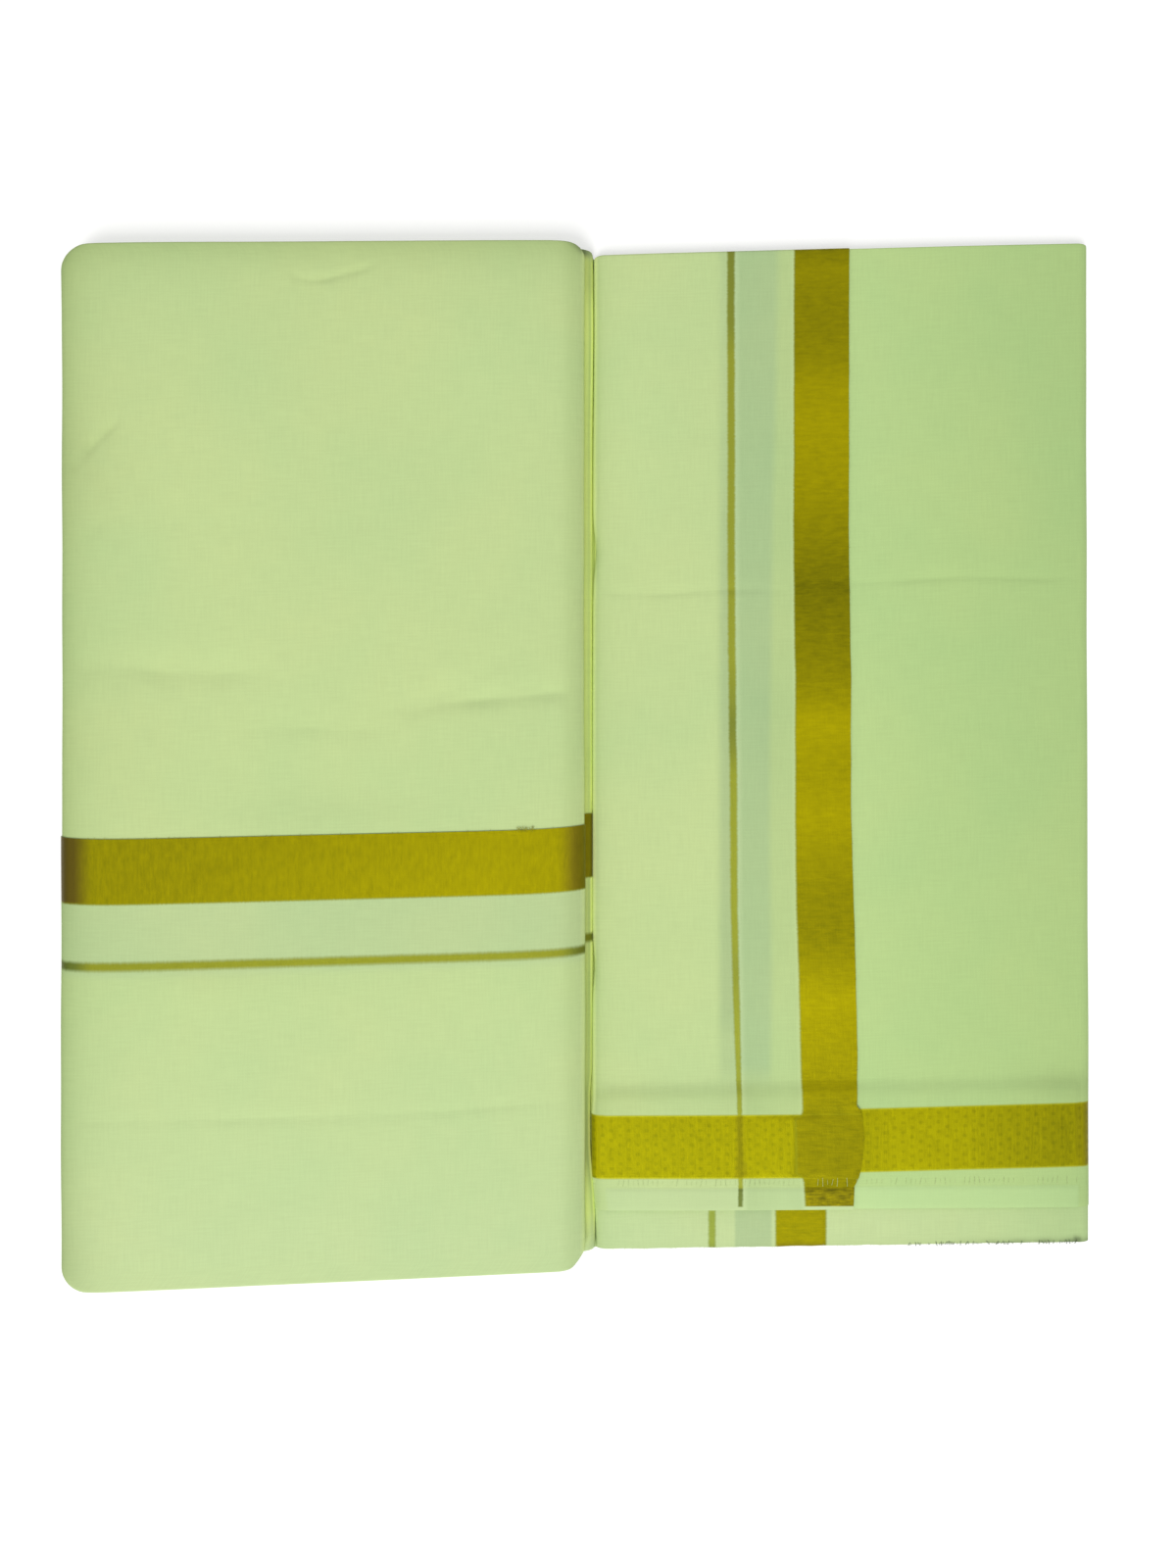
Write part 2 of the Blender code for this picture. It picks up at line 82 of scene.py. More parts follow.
SEAM_X = 10.2 * MM            # left fold of the thin leaf
RIGHT_X = 317.8 * MM
RIGHT_HEAD_Y = 316.2 * MM
HEM_Y = -275.8 * MM
RIGHT_FOOT_Y = -303.3 * MM
RIGHT_REACH = 7.0 * MM
SPLIT_X = 160.0 * MM
HEM_DEEP = 12.0 * MM
HEM_PROUD = 0.5 * MM
SOFT_CORNER = 3.0 * MM
LOWER_SIDE = 0.6 * MM
PANEL_TOP = RIGHT_TALL - PITCH
LOWER_TOP = PANEL_TOP - PITCH
JOIN_FOOT_Y = -290.0 * MM
JOIN_HEAD_Y = 305.0 * MM
PUFF = 0.6 * MM
print(f"thick leaf {LEFT_TALL / MM:.1f} mm tall, thin leaf {RIGHT_TALL / MM:.1f} mm")

# %% Short tables shared with the frame
Lean = namedtuple("Lean", "y rise")
LEFT_LEAN = (
    Lean(LEFT_FOOT_Y, 0.045),
    Lean(LEVEL_SELVEDGE_Y, 0.023),
    Lean(LEFT_HEAD_Y, 0.006),
)
RIGHT_LEAN = (
    Lean(RIGHT_FOOT_Y, 0.0147),
    Lean(HEM_Y, 0.005),
    Lean(RIGHT_HEAD_Y, 0.0265),
)
LEVEL_FROM_X = {LEFT_LEAN: LEFT_X + LEFT_CORNER, RIGHT_LEAN: SEAM_X}

Sink = namedtuple("Sink", "y top base tuck")
MIDDLE_SINK = (
    Sink(LEFT_FOOT_Y, PITCH, PITCH, PITCH),
    Sink(LEVEL_SELVEDGE_Y - 20 * MM, PITCH, PITCH, PITCH),
    Sink(LEVEL_SELVEDGE_Y - 8 * MM, 0.65 * MM, 0.8 * MM, 0.8 * MM),
    Sink(LEVEL_SELVEDGE_Y + 22 * MM, 0.65 * MM, 0.0, 0.6 * MM),
    Sink(LEVEL_SELVEDGE_Y + 70 * MM, 0.6 * MM, 0.0, 0.0),
    Sink(LEFT_HEAD_Y - 40 * MM, 0.4 * MM, 0.0, 0.0),
    Sink(LEFT_HEAD_Y - 12 * MM, 0.0, 0.0, 0.0),
)

# The upright border: its woven edge, the gold's width and the fine line's place from the edge.
Border = namedtuple("Border", "y edge gold line")
UPRIGHT_BORDER = (
    Border(HEM_Y, 171.6 * MM, 29.9 * MM, 70.2 * MM),
    Border(-262.0 * MM, 172.2 * MM, 31.4 * MM, 70.6 * MM),
    Border(-208.0 * MM, 173.6 * MM, 34.1 * MM, 72.9 * MM),
    Border(-184.0 * MM, 173.9 * MM, 35.3 * MM, 74.0 * MM),
    Border(-135.0 * MM, 173.0 * MM, 35.3 * MM, 74.3 * MM),
    Border(-98.0 * MM, 172.0 * MM, 35.7 * MM, 74.2 * MM),
    Border(-62.0 * MM, 170.7 * MM, 35.2 * MM, 73.4 * MM),
    Border(-26.0 * MM, 169.8 * MM, 34.5 * MM, 72.6 * MM),
    Border(47.0 * MM, 170.0 * MM, 34.6 * MM, 73.7 * MM),
    Border(84.0 * MM, 169.4 * MM, 34.6 * MM, 73.4 * MM),
    Border(140.0 * MM, 168.6 * MM, 34.3 * MM, 72.9 * MM),
    Border(RIGHT_HEAD_Y, 168.9 * MM, 34.1 * MM, 73.3 * MM),
)
print(len(UPRIGHT_BORDER), "rows in the upright border's table")


# %% Helpers for tables and soft edges
def column(rows, name, y):
    """A table's column at the heights y, on straight lines between its rows."""
    return np.interp(y, [row.y for row in rows], [getattr(row, name) for row in rows])


def grade(value, zero_at, one_at):
    """0 as far as zero_at, 1 from one_at on, and straight between."""
    return np.clip((value - zero_at) / (one_at - zero_at), 0.0, 1.0)


def bell(value, middle, wide):
    """1 at the middle, falling smoothly away on both sides."""
    return np.exp(-((value - middle) / wide) ** 2)


def eased(share):
    """A share from 0 to 1 that starts and ends softly."""
    return share * share * (3 - 2 * share)


print("border at the middle:", column(UPRIGHT_BORDER, "edge", 0.0) / MM, "mm")

# %% [markdown]
# ## Camera, floor and light
#
# The cloth is looked at from straight above and quite near, so the folds lower down show a
# little smaller than those on top. A plain white floor, a bright soft sky and one large
# lamp beyond the foot of the cloth give the even light of a studio table. The sky is darker
# near the horizon, so that the round folds shade softly as they turn down, and the lamp
# shines across the creases, which run from side to side, so that they show.

# %% Camera
EYE_HIGH = 0.673
EYE_X = 7.0 * MM
EYE_Y = -13.6 * MM
VIEW_TALL = 0.9875            # height of floor that the camera takes in
SENSOR = 36.0

lens = bpy.data.cameras.new("camera_above")
lens.sensor_fit = "VERTICAL"
lens.sensor_height = SENSOR
lens.sensor_width = SENSOR
lens.lens = SENSOR * EYE_HIGH / VIEW_TALL
lens.clip_start = 0.01
camera = bpy.data.objects.new("camera_above", lens)
camera.location = (EYE_X, EYE_Y, EYE_HIGH)
bpy.context.scene.collection.objects.link(camera)
bpy.context.scene.camera = camera
bpy.context.scene.view_settings.view_transform = "Standard"
print(f"lens {lens.lens:.1f} mm")


# %% A short hand for shader nodes
class Wiring:
    """Adds nodes to a material or a world and joins them up."""

    def __init__(self, owner):
        owner.use_nodes = True
        self.tree = owner.node_tree
        self.places = 0

    def add(self, kind, **settings):
        """A new node with some of its settings."""
        node = self.tree.nodes.new(kind)
        node.location = (220 * (self.places % 12), -260 * (self.places // 12))
        self.places += 1
        for name, value in settings.items():
            setattr(node, name, value)
        return node

    def feed(self, socket, value):
        """A number, a colour or another node's output into a socket."""
        if isinstance(value, bpy.types.NodeSocket):
            self.tree.links.new(value, socket)
        elif value is not None:
            socket.default_value = value

    def number(self, operation, first, second=None, third=None, clamp=False):
        """One step of arithmetic."""
        node = self.add("ShaderNodeMath", operation=operation, use_clamp=clamp)
        for socket, value in zip(node.inputs, (first, second, third)):
            self.feed(socket, value)
        return node.outputs[0]

    def soft_step(self, value, low, high, start=0.0, end=1.0):
        """start below low, end above high, and a soft change between."""
        node = self.add("ShaderNodeMapRange", interpolation_type="SMOOTHSTEP")
        for socket, given in zip(node.inputs, (value, low, high, start, end)):
            self.feed(socket, given)
        return node.outputs[0]

    def mix(self, share, first, second, way="MIX"):
        """Two colours blended."""
        node = self.add("ShaderNodeMix", data_type="RGBA", blend_type=way, clamp_factor=True)
        colours = [socket for socket in node.inputs if socket.type == "RGBA"]
        self.feed(node.inputs[0], share)
        self.feed(colours[0], first)
        self.feed(colours[1], second)
        return [socket for socket in node.outputs if socket.type == "RGBA"][0]

    def speckle(self, vector, scale, detail=2.0, rough=0.5):
        """Soft noise from 0 to 1."""
        node = self.add("ShaderNodeTexNoise")
        self.feed(node.inputs["Vector"], vector)
        node.inputs["Scale"].default_value = scale
        node.inputs["Detail"].default_value = detail
        node.inputs["Roughness"].default_value = rough
        return node.outputs[0]

    def join(self, x, y, z=0.0):
        """Three numbers as one vector."""
        node = self.add("ShaderNodeCombineXYZ")
        for socket, value in zip(node.inputs, (x, y, z)):
            self.feed(socket, value)
        return node.outputs[0]

    def split(self, vector):
        """A vector's three numbers."""
        node = self.add("ShaderNodeSeparateXYZ")
        self.feed(node.inputs[0], vector)
        return node.outputs

    def attribute(self, name):
        """The numbers that a sheet carries at each point, as three outputs."""
        node = self.add("ShaderNodeAttribute", attribute_name=name)
        return self.split(node.outputs["Vector"])


# %% Sky and lamp
SKY_TOP = 0.87
SKY_LOW = 0.33
LAMP_PLACE = (-0.90, -3.40, 3.80)
LAMP_WIDE = 2.0
LAMP_WATTS = 180.0

sky = bpy.data.worlds.new("soft_sky")
wires = Wiring(sky)
high = wires.split(wires.add("ShaderNodeTexCoord").outputs["Generated"])[2]
background = sky.node_tree.nodes["Background"]
wires.feed(background.inputs["Strength"], wires.soft_step(high, -0.1, 0.95, SKY_LOW, SKY_TOP))
background.inputs["Color"].default_value = (1.0, 1.0, 1.0, 1.0)
bpy.context.scene.world = sky

glow = bpy.data.lights.new("large_lamp", "AREA")
glow.size = LAMP_WIDE
glow.energy = LAMP_WATTS
glow.color = (1.0, 0.99, 0.96)
lamp = bpy.data.objects.new("large_lamp", glow)
lamp.location = LAMP_PLACE
lamp.rotation_euler = lamp.location.normalized().to_track_quat("Z", "Y").to_euler()
bpy.context.scene.collection.objects.link(lamp)
print("lamp at", LAMP_PLACE)

# %% Floor
FLOOR_HALF = 3.0
FLOOR_BELOW = 0.2 * MM
FLOOR_GLOW = 0.38              # lit a little from below, as a light table is

floor_form = bmesh.new()
bmesh.ops.create_grid(floor_form, x_segments=1, y_segments=1, size=FLOOR_HALF)
floor_mesh = bpy.data.meshes.new("studio_floor")
floor_form.to_mesh(floor_mesh)
floor_form.free()
floor = bpy.data.objects.new("studio_floor", floor_mesh)
floor.location.z = -FLOOR_BELOW
bpy.context.scene.collection.objects.link(floor)
floor_paint = bpy.data.materials.new("floor_paint")
floor_paint.use_nodes = True
floor_shader = floor_paint.node_tree.nodes["Principled BSDF"]
floor_shader.inputs["Base Color"].default_value = (0.62, 0.62, 0.62, 1.0)
floor_shader.inputs["Emission Color"].default_value = (1.0, 1.0, 1.0, 1.0)
floor_shader.inputs["Emission Strength"].default_value = FLOOR_GLOW
floor_shader.inputs["Roughness"].default_value = 0.9
floor_shader.inputs["Specular IOR Level"].default_value = 0.1
floor_mesh.materials.append(floor_paint)
print(f"floor {2 * FLOOR_HALF:.0f} m wide")

# %% [markdown]
# ## Cotton and gold thread
#
# The ground is a plain weave of cream cotton about 0.45 mm from thread to thread. The
# borders are woven into it with gold-coloured metal thread: a broad band along the woven
# edge, a pale gap and a fine line. Each sheet carries attributes that its material reads:
#
# - "thread": the place in the weave, as the distance from the woven edge, the place along
#   the cloth and the distance from a stripe that shines through from the layer below;
# - "place": how much painted shade the gold and fine line take near a fold and along the
#   line, whether it is in the turned hem, and how much of the lower stripe shines through;
# - "tone": how much red, green and blue the cotton gives back there: painted shade, darker
#   and yellower beside folds, along the ramp and at corners, painted light in the slot
#   between the leaves, and greener where fewer layers lie behind the cloth;
# - "shine": how brightly the gold shines there, painted into its colour.
#
# The borders therefore run round the folds, as woven ones do.

# %% Colours
CREAM = (0.466, 0.582, 0.268, 1.0)
CREAM_GREEN = (0.448, 0.576, 0.264, 1.0)
CREAM_WARM = (0.485, 0.592, 0.268, 1.0)
CREAM_BLUE = (0.466, 0.592, 0.320, 1.0)
WHITE = (1.0, 1.0, 1.0, 1.0)
SHINE_THROUGH = (0.88, 0.915, 1.02, 1.0)
LEVEL_GAP_TONE = (0.93, 0.935, 1.0, 1.0)
UPRIGHT_GAP_TONE = (0.875, 0.91, 0.88, 1.0)
LOWER_GAP_TONE = (0.80, 0.845, 0.88, 1.0)
GOLD = (0.520, 0.450, 0.001, 1.0)
# deep gold where the painted shine is low, also used for the dots and the crossing
GOLD_DEEP = (0.060, 0.070, 0.002, 1.0)
# brown of turned hems, and the painted shade of gold near folds
GOLD_BROWN_AND_SHADE = (0.105, 0.078, 0.008, 1.0)
GOLD_RIM = (0.230, 0.250, 0.010, 1.0)
BAND_RIM = (0.430, 0.440, 0.015, 1.0)
BAND_GOLD = (0.520, 0.478, 0.001, 1.0)
LINE_GOLD = (0.300, 0.318, 0.011, 1.0)
LEVEL_LINE = (0.225, 0.238, 0.008, 1.0)
LOWER_LINE_OLIVE = (0.200, 0.245, 0.018, 1.0)
# the fine line's colour where painted shade falls on it, and in the turned hem
LINE_DARK = (0.100, 0.130, 0.012, 1.0)
print(f"cream gives back {CREAM[2] / CREAM[1]:.0%} as much blue as green")

# %% Stripes of the borders
THREAD = 0.45 * MM
WHOLE_GOLD = 34.0 * MM        # width of the upright border's gold, before it narrows
LEVEL_GOLD = 40.3 * MM
Stripe = namedtuple("Stripe", "middle wide soft gold")
LEVEL_STRIPES = (
    Stripe(LEVEL_GOLD / 2 - 0.6 * MM, LEVEL_GOLD + 1.2 * MM, 0.8 * MM, 1.0),
    Stripe(78.2 * MM, 5.2 * MM, 1.5 * MM, 0.95),
)
UPRIGHT_STRIPES = (
    Stripe(WHOLE_GOLD / 2 - 0.6 * MM, WHOLE_GOLD + 1.2 * MM, 0.9 * MM, 1.0),
    Stripe(73.5 * MM, 4.2 * MM, 0.9 * MM, 0.90),
)
LEVEL_GAP = Stripe(61.0 * MM, 46.0 * MM, 4.0 * MM, 0.0)
UPRIGHT_GAP = Stripe(52.0 * MM, 34.0 * MM, 2.0 * MM, 0.0)
LOWER_GAP = Stripe(47.9 * MM, 22.6 * MM, 1.2 * MM, 0.0)
END_BAND = Stripe(36.9 * MM, 39.5 * MM, 0.6 * MM, 1.0)
SHEER_STRIPE = Stripe(0.0, 32.2 * MM, 3.0 * MM, 0.0)
DOT_REPEAT_X = 11.0 * MM      # half-drop repeat of the small dots in the end band
DOT_REPEAT_Y = 5.9 * MM
print(f"{LEVEL_GOLD / THREAD:.0f} gold threads in the level border")


# %% Masks and height of the weave
def stripe_mask(wires, across, stripe):
    """1 inside a stripe and 0 outside it."""
    away = wires.number("ABSOLUTE", wires.number("SUBTRACT", across, stripe.middle))
    half = stripe.wide / 2
    return wires.soft_step(away, half - stripe.soft, half + stripe.soft, 1.0, 0.0)


def weave_height(wires, across, along):
    """Threads over and under each other, from 0 to 1."""
    warp = wires.number("SINE", wires.number("MULTIPLY", across, math.pi / THREAD))
    weft = wires.number("SINE", wires.number("MULTIPLY", along, math.pi / THREAD))
    over = wires.number("MULTIPLY_ADD", wires.number("MULTIPLY", warp, weft), 0.5, 0.5)
    under = wires.number("SUBTRACT", 1.0, over)
    first = wires.number("MULTIPLY", wires.number("ABSOLUTE", warp), over)
    second = wires.number("MULTIPLY", wires.number("ABSOLUTE", weft), under)
    return wires.number("MAXIMUM", first, second)


def dot_mask(wires, along, from_end):
    """Small dots in a half-drop repeat."""
    turn = 2 * math.pi
    across = wires.number("COSINE", wires.number("MULTIPLY", along, turn / DOT_REPEAT_X))
    narrow = wires.number("MULTIPLY", across, wires.number("MULTIPLY", across, across))
    upward = wires.number("COSINE", wires.number("MULTIPLY", from_end, turn / DOT_REPEAT_Y))
    return wires.soft_step(wires.number("MULTIPLY", narrow, upward), 0.05, 0.75)


# %% Uneven threads
def slub_noise(wires, across, along):
    """Thick and thin threads, long one way and short the other, about 1 on average."""
    warp = wires.join(wires.number("MULTIPLY", across, 1000.0),
                      wires.number("MULTIPLY", along, 60.0))
    weft = wires.join(wires.number("MULTIPLY", across, 60.0),
                      wires.number("MULTIPLY", along, 1000.0))
    return wires.number("ADD", wires.speckle(warp, 1.0), wires.speckle(weft, 1.0))


def ragged(wires, across, along):
    """Distance from the woven edge where a thread here and there wanders a little."""
    stray = wires.speckle(wires.join(wires.number("MULTIPLY", along, 800.0),
                                     wires.number("MULTIPLY", across, 150.0)), 1.0, 1.0)
    return wires.number("MULTIPLY_ADD", wires.number("SUBTRACT", stray, 0.5), 0.9 * MM, across)


# %% Ground colour
def cotton_ground(wires, solid, slubs, place, tone):
    """Cream with faint clouds, uneven threads and the sheet's tone, which carries painted light
    and shade.
    """
    clouds = wires.soft_step(wires.speckle(solid, 9.0, 3.0), 0.3, 0.7)
    colour = wires.mix(clouds, CREAM_GREEN, CREAM_WARM)
    flecks = wires.soft_step(wires.speckle(solid, 70.0, 3.0, 0.6), 0.35, 0.75, 0.0, 0.5)
    colour = wires.mix(flecks, colour, CREAM)
    shade = wires.soft_step(slubs, 0.6, 1.4, 0.97, 1.03)
    colour = wires.mix(1.0, colour, wires.join(shade, shade, shade), "MULTIPLY")
    colour = wires.mix(wires.number("MULTIPLY", place[1], 0.5), colour, CREAM_BLUE)
    return wires.mix(1.0, colour, tone, "MULTIPLY")


def shine_through(wires, colour, beside, sheer):
    """The cooler stripe of the layer below, seen through the cloth."""
    share = wires.number("MULTIPLY", sheer, stripe_mask(wires, beside, SHEER_STRIPE))
    return wires.mix(1.0, colour, wires.mix(share, WHITE, SHINE_THROUGH), "MULTIPLY")


# %% Gold thread
def gold_thread(wires, across, along, shine, place, brightest):
    """Gold whose shine is painted into its colour: deeper where it shines less, browned by
    painted shade near folds, brown in hems, ribbed and flecked with painted glints.
    """
    ribs = wires.speckle(wires.join(wires.number("MULTIPLY", across, 110.0),
                                    wires.number("MULTIPLY", along, 750.0)), 1.0, 2.0, 0.6)
    patches = wires.speckle(wires.join(wires.number("MULTIPLY", across, 130.0),
                                       wires.number("MULTIPLY", along, 260.0)), 1.0, 2.0, 0.6)
    # ribs and patches here paint glints into the gold's colour
    uneven = wires.number("ADD", wires.number("SUBTRACT", ribs, 0.5),
                          wires.number("SUBTRACT", patches, 0.5))
    how_uneven = wires.number("MULTIPLY_ADD", place[1], 0.75, 0.26)
    glow = wires.number("MULTIPLY_ADD", uneven, how_uneven, shine)
    gold = wires.mix(glow, GOLD_DEEP, brightest)
    gold = wires.mix(wires.number("MULTIPLY", place[1], 0.32), gold, GOLD_BROWN_AND_SHADE)
    return wires.mix(place[0], gold, GOLD_BROWN_AND_SHADE), ribs


def gold_rim(wires, gold, shifted, stripe, rim_colour=GOLD_RIM):
    """Olive edge where the outermost gold threads mingle with cotton."""
    core = stripe._replace(wide=stripe.wide - 1.8 * MM, soft=0.7 * MM)
    rim = wires.number("SUBTRACT", 1.0, stripe_mask(wires, shifted, core))
    return wires.mix(wires.number("MULTIPLY", rim, 0.55), gold, rim_colour)


# %% Border and end band
DOT_DEPTH = 0.19              # how much darker the small dots are
CROSSING_DEPTH = 0.22         # and the fine line, where it runs through the end band
Weave = namedtuple("Weave", "across along shifted place shine")


def with_border(wires, weave, colour, stripes, line_colour, end_band):
    """A colour with the border's gold and fine line on it, their masks, the gold and its ribs."""
    gold, ribs = gold_thread(wires, weave.across, weave.along, weave.shine, weave.place, GOLD)
    gold = gold_rim(wires, gold, weave.shifted, stripes[0])
    broad, fine = (stripe_mask(wires, weave.shifted, stripe) for stripe in stripes)
    if end_band:
        woven = wires.soft_step(weave.along, -0.4 * MM, 0.4 * MM)
        broad, fine = (wires.number("MULTIPLY", mask, woven) for mask in (broad, fine))
    colour = wires.mix(broad, colour, gold)
    # painted shade near folds and along the line, and the turned hem, darken the fine line
    dark = wires.number("MAXIMUM", weave.place[0], weave.place[1])
    line = wires.mix(dark, line_colour, LINE_DARK)
    fine = wires.number("MULTIPLY", fine, stripes[1].gold)
    return wires.mix(fine, colour, line), [broad, fine], gold, ribs


def with_end_band(wires, weave, colour, end_band, border_masks, border_gold):
    """A colour with the dotted gold band on it, the band's mask and its ribs."""
    gold, ribs = gold_thread(wires, weave.along, weave.across, weave.shine, weave.place,
                             BAND_GOLD)
    band = stripe_mask(wires, weave.along, end_band)
    dots = wires.number("MULTIPLY", dot_mask(wires, weave.across, weave.along), DOT_DEPTH)
    gold = wires.mix(dots, gold, GOLD_DEEP)
    gold = gold_rim(wires, gold, weave.along, end_band, BAND_RIM)
    if border_masks:
        # where band and border cross, both sets of threads are gold and look deeper
        both, thin = (wires.number("MULTIPLY", band, mask) for mask in border_masks)
        gold = wires.mix(both, gold, border_gold)
        gold = wires.mix(wires.number("MULTIPLY", thin, CROSSING_DEPTH), gold, GOLD_DEEP)
    return wires.mix(band, colour, gold), band, ribs


# %% Surface of the cotton and the gold
COTTON_ROUGH = 0.88
GOLD_ROUGH = 0.40
GOLD_METALLIC = 0.8
WEAVE_TALL = 0.12 * MM
RIPPLE_TALL = 0.5 * MM
HALF_STRENGTH = 0.5


def bumps(wires, height, tall, normal=None):
    """The surface raised by a height, as a normal."""
    bump = wires.add("ShaderNodeBump")
    bump.inputs["Strength"].default_value = HALF_STRENGTH
    bump.inputs["Distance"].default_value = tall
    wires.feed(bump.inputs["Height"], height)
    wires.feed(bump.inputs["Normal"], normal)
    return bump.outputs["Normal"]


def gilded(wires, shader, masks, ribs, height):
    """Makes the gold metal, smoother than cotton, and adds its ribs to the height."""
    gilt = masks[0]
    for mask in masks[1:]:
        gilt = wires.number("MAXIMUM", gilt, mask)
    height = wires.number("MULTIPLY_ADD", wires.number("MULTIPLY", gilt, ribs), 1.5, height)
    wires.feed(shader.inputs["Metallic"], wires.number("MULTIPLY", gilt, GOLD_METALLIC))
    rough = wires.number("MULTIPLY_ADD", ribs, 0.15, GOLD_ROUGH - COTTON_ROUGH)
    rough = wires.number("MULTIPLY_ADD", gilt, rough, COTTON_ROUGH)
    wires.feed(shader.inputs["Roughness"], rough)
    return height


# %% The cotton of one stretch
def woven_cotton(name, stripes=(), gap=None, gap_tone=WHITE, end_band=None,
                 line_colour=LINE_GOLD):
    """Cream cotton with gold stripes along its woven edge and maybe a band across its end."""
    material = bpy.data.materials.new(name)
    wires = Wiring(material)
    shader = material.node_tree.nodes["Principled BSDF"]
    across, along, beside = wires.attribute("thread")
    place = wires.attribute("place")
    tone = wires.add("ShaderNodeAttribute", attribute_name="tone").outputs["Vector"]
    shine = wires.add("ShaderNodeAttribute", attribute_name="shine").outputs["Fac"]
    solid = wires.add("ShaderNodeTexCoord").outputs["Object"]
    weave = Weave(across, along, ragged(wires, across, along), place, shine)
    slubs = slub_noise(wires, across, along)

    colour = cotton_ground(wires, solid, slubs, place, tone)
    if gap:
        pale = wires.mix(stripe_mask(wires, weave.shifted, gap), WHITE, gap_tone)
        colour = wires.mix(1.0, colour, pale, "MULTIPLY")
    colour = shine_through(wires, colour, beside, place[2])
    height = wires.number("MULTIPLY_ADD", slubs, 0.7, weave_height(wires, across, along))

    masks, gold = [], None
    if stripes:
        colour, masks, gold, ribs = with_border(wires, weave, colour, stripes, line_colour,
                                                end_band)
    if end_band:
        colour, band, ribs = with_end_band(wires, weave, colour, end_band, masks, gold)
        masks.append(band)
    if masks:
        height = gilded(wires, shader, masks, ribs, height)
    else:
        shader.inputs["Roughness"].default_value = COTTON_ROUGH

    fine = bumps(wires, height, WEAVE_TALL)
    rippled = bumps(wires, wires.speckle(solid, 55.0, 3.0), RIPPLE_TALL, fine)
    wires.feed(shader.inputs["Base Color"], colour)
    wires.feed(shader.inputs["Normal"], rippled)
    shader.inputs["Specular IOR Level"].default_value = 0.05
    shader.inputs["Sheen Weight"].default_value = 0.03
    shader.inputs["Sheen Roughness"].default_value = 0.5
    return material


# %% The finishes
PLAIN_COTTON = woven_cotton("plain_cotton")
LEVEL_COTTON = woven_cotton("level_border_cotton", LEVEL_STRIPES, LEVEL_GAP, LEVEL_GAP_TONE,
                            line_colour=LEVEL_LINE)
UPRIGHT_COTTON = woven_cotton("upright_border_cotton", UPRIGHT_STRIPES, UPRIGHT_GAP,
                              UPRIGHT_GAP_TONE, END_BAND)
PANEL_COTTON = woven_cotton("end_band_cotton", end_band=END_BAND)
LOWER_COTTON = woven_cotton("lower_border_cotton", UPRIGHT_STRIPES, LOWER_GAP,
                            LOWER_GAP_TONE, line_colour=LOWER_LINE_OLIVE)
print(len(bpy.data.materials), "materials")

# %% [markdown]
# ## Creases
#
# Pressed cotton is never quite flat. Long low waves run through the stack, and the hand
# that folded it has left a few soft creases: troughs with a faint ridge beside them, each
# of its own length and depth. They are placed one by one, from a start over a middle to an
# end, because a random crease looks like noise and a real one has a cause.

# %% Table of creases
Crease = namedtuple("Crease", "x0 y0 xm ym x1 y1 steep deep gentle")


def crease(start, middle, end, steep, deep, gentle):
    """A crease in millimetres, kept in metres: steep side to the foot, gentle to the head."""
    places = [value * MM for point in (start, middle, end) for value in point]
    return Crease(*places, steep * MM, deep * MM, gentle * MM)


LEFT_CREASES = (
    crease((-308, 58), (-250, 55.5), (-185, 54), 8.0, 1.55, 11),
    crease((-207, 21), (-165, 20), (-108, 21), 4.5, 0.60, 10),
    crease((-107, 29), (-52, 39.5), (9, 42), 5.0, 1.90, 9),
    crease((-130, 28), (-80, 44), (-25, 72), 4.5, 0.50, 9),
    crease((-314, -221.5), (-152, -217), (8, -208), 1.9, 0.60, 5),
    crease((-174, 297), (-148, 296), (-120, 307), 2.2, 1.10, 2.8),
    crease((-310, 176), (-297, 195), (-278, 212), 2.0, 1.90, 3.5),
    crease((-306, 126), (-299, 140), (-287, 148), 3.0, 0.70, 6),
    crease((-300, 150), (-220, 143), (-90, 148), 7.0, 0.20, 9),
    crease((-180, -130), (-60, -122), (0, -126), 8.0, 0.18, 9),
    crease((-305, -262), (-200, -268), (-60, -258), 8.0, 0.18, 9),
)
RIGHT_CREASES = (
    crease((10, 104.5), (64, 105.2), (132, 107.5), 1.9, 0.62, 5),
    crease((150, 111), (240, 113.8), (320, 115), 1.9, 0.66, 5),
    crease((20, 205), (90, 202), (160, 206), 7.0, 0.16, 9),
    crease((180, 20), (240, 24), (310, 18), 8.0, 0.18, 9),
    crease((20, -96), (80, -99), (150, -95), 7.0, 0.15, 9),
)
UNDER_CREASES = (
    crease((-280, 120), (-150, 112), (-20, 118), 5.0, 0.35, 8),
    crease((-260, -90), (-160, -84), (-30, -92), 6.0, 0.30, 8),
    crease((-220, -215), (-120, -222), (-10, -212), 4.0, 0.35, 7),
    crease((30, 110), (150, 104), (300, 100), 4.0, 0.35, 7),
    crease((40, -150), (170, -156), (290, -148), 6.0, 0.30, 8),
)
print(len(LEFT_CREASES) + len(RIGHT_CREASES), "creases on top")


# %% Height of creases and waves
def crease_height(x, y, creases):
    """Height that the creases add at x and y: troughs with a steep and a gentle side."""
    height = np.zeros(np.broadcast(x, y).shape)
    for fold in creases:
        share = (x - fold.x0) / (fold.x1 - fold.x0)
        bend = fold.ym - (fold.y0 + fold.y1) / 2
        path = fold.y0 + (fold.y1 - fold.y0) * share + 4 * bend * share * (1 - share)
        slope = (fold.y1 - fold.y0) / (fold.x1 - fold.x0)
        path = path + 0.8 * MM * np.sin(share * 9.0 + fold.y0 * 200)
        away = (y - path) / math.sqrt(1 + slope * slope)
        away = away / np.where(away < 0, fold.steep, fold.gentle)
        inside = np.clip(share, 0.0, 1.0)
        fade = np.sin(np.pi * inside) ** 0.6 * (1 + 0.25 * np.sin(share * 17.0 + 1.0))
        height -= fold.deep * fade * np.exp(-np.abs(away) ** 1.5)
    return height


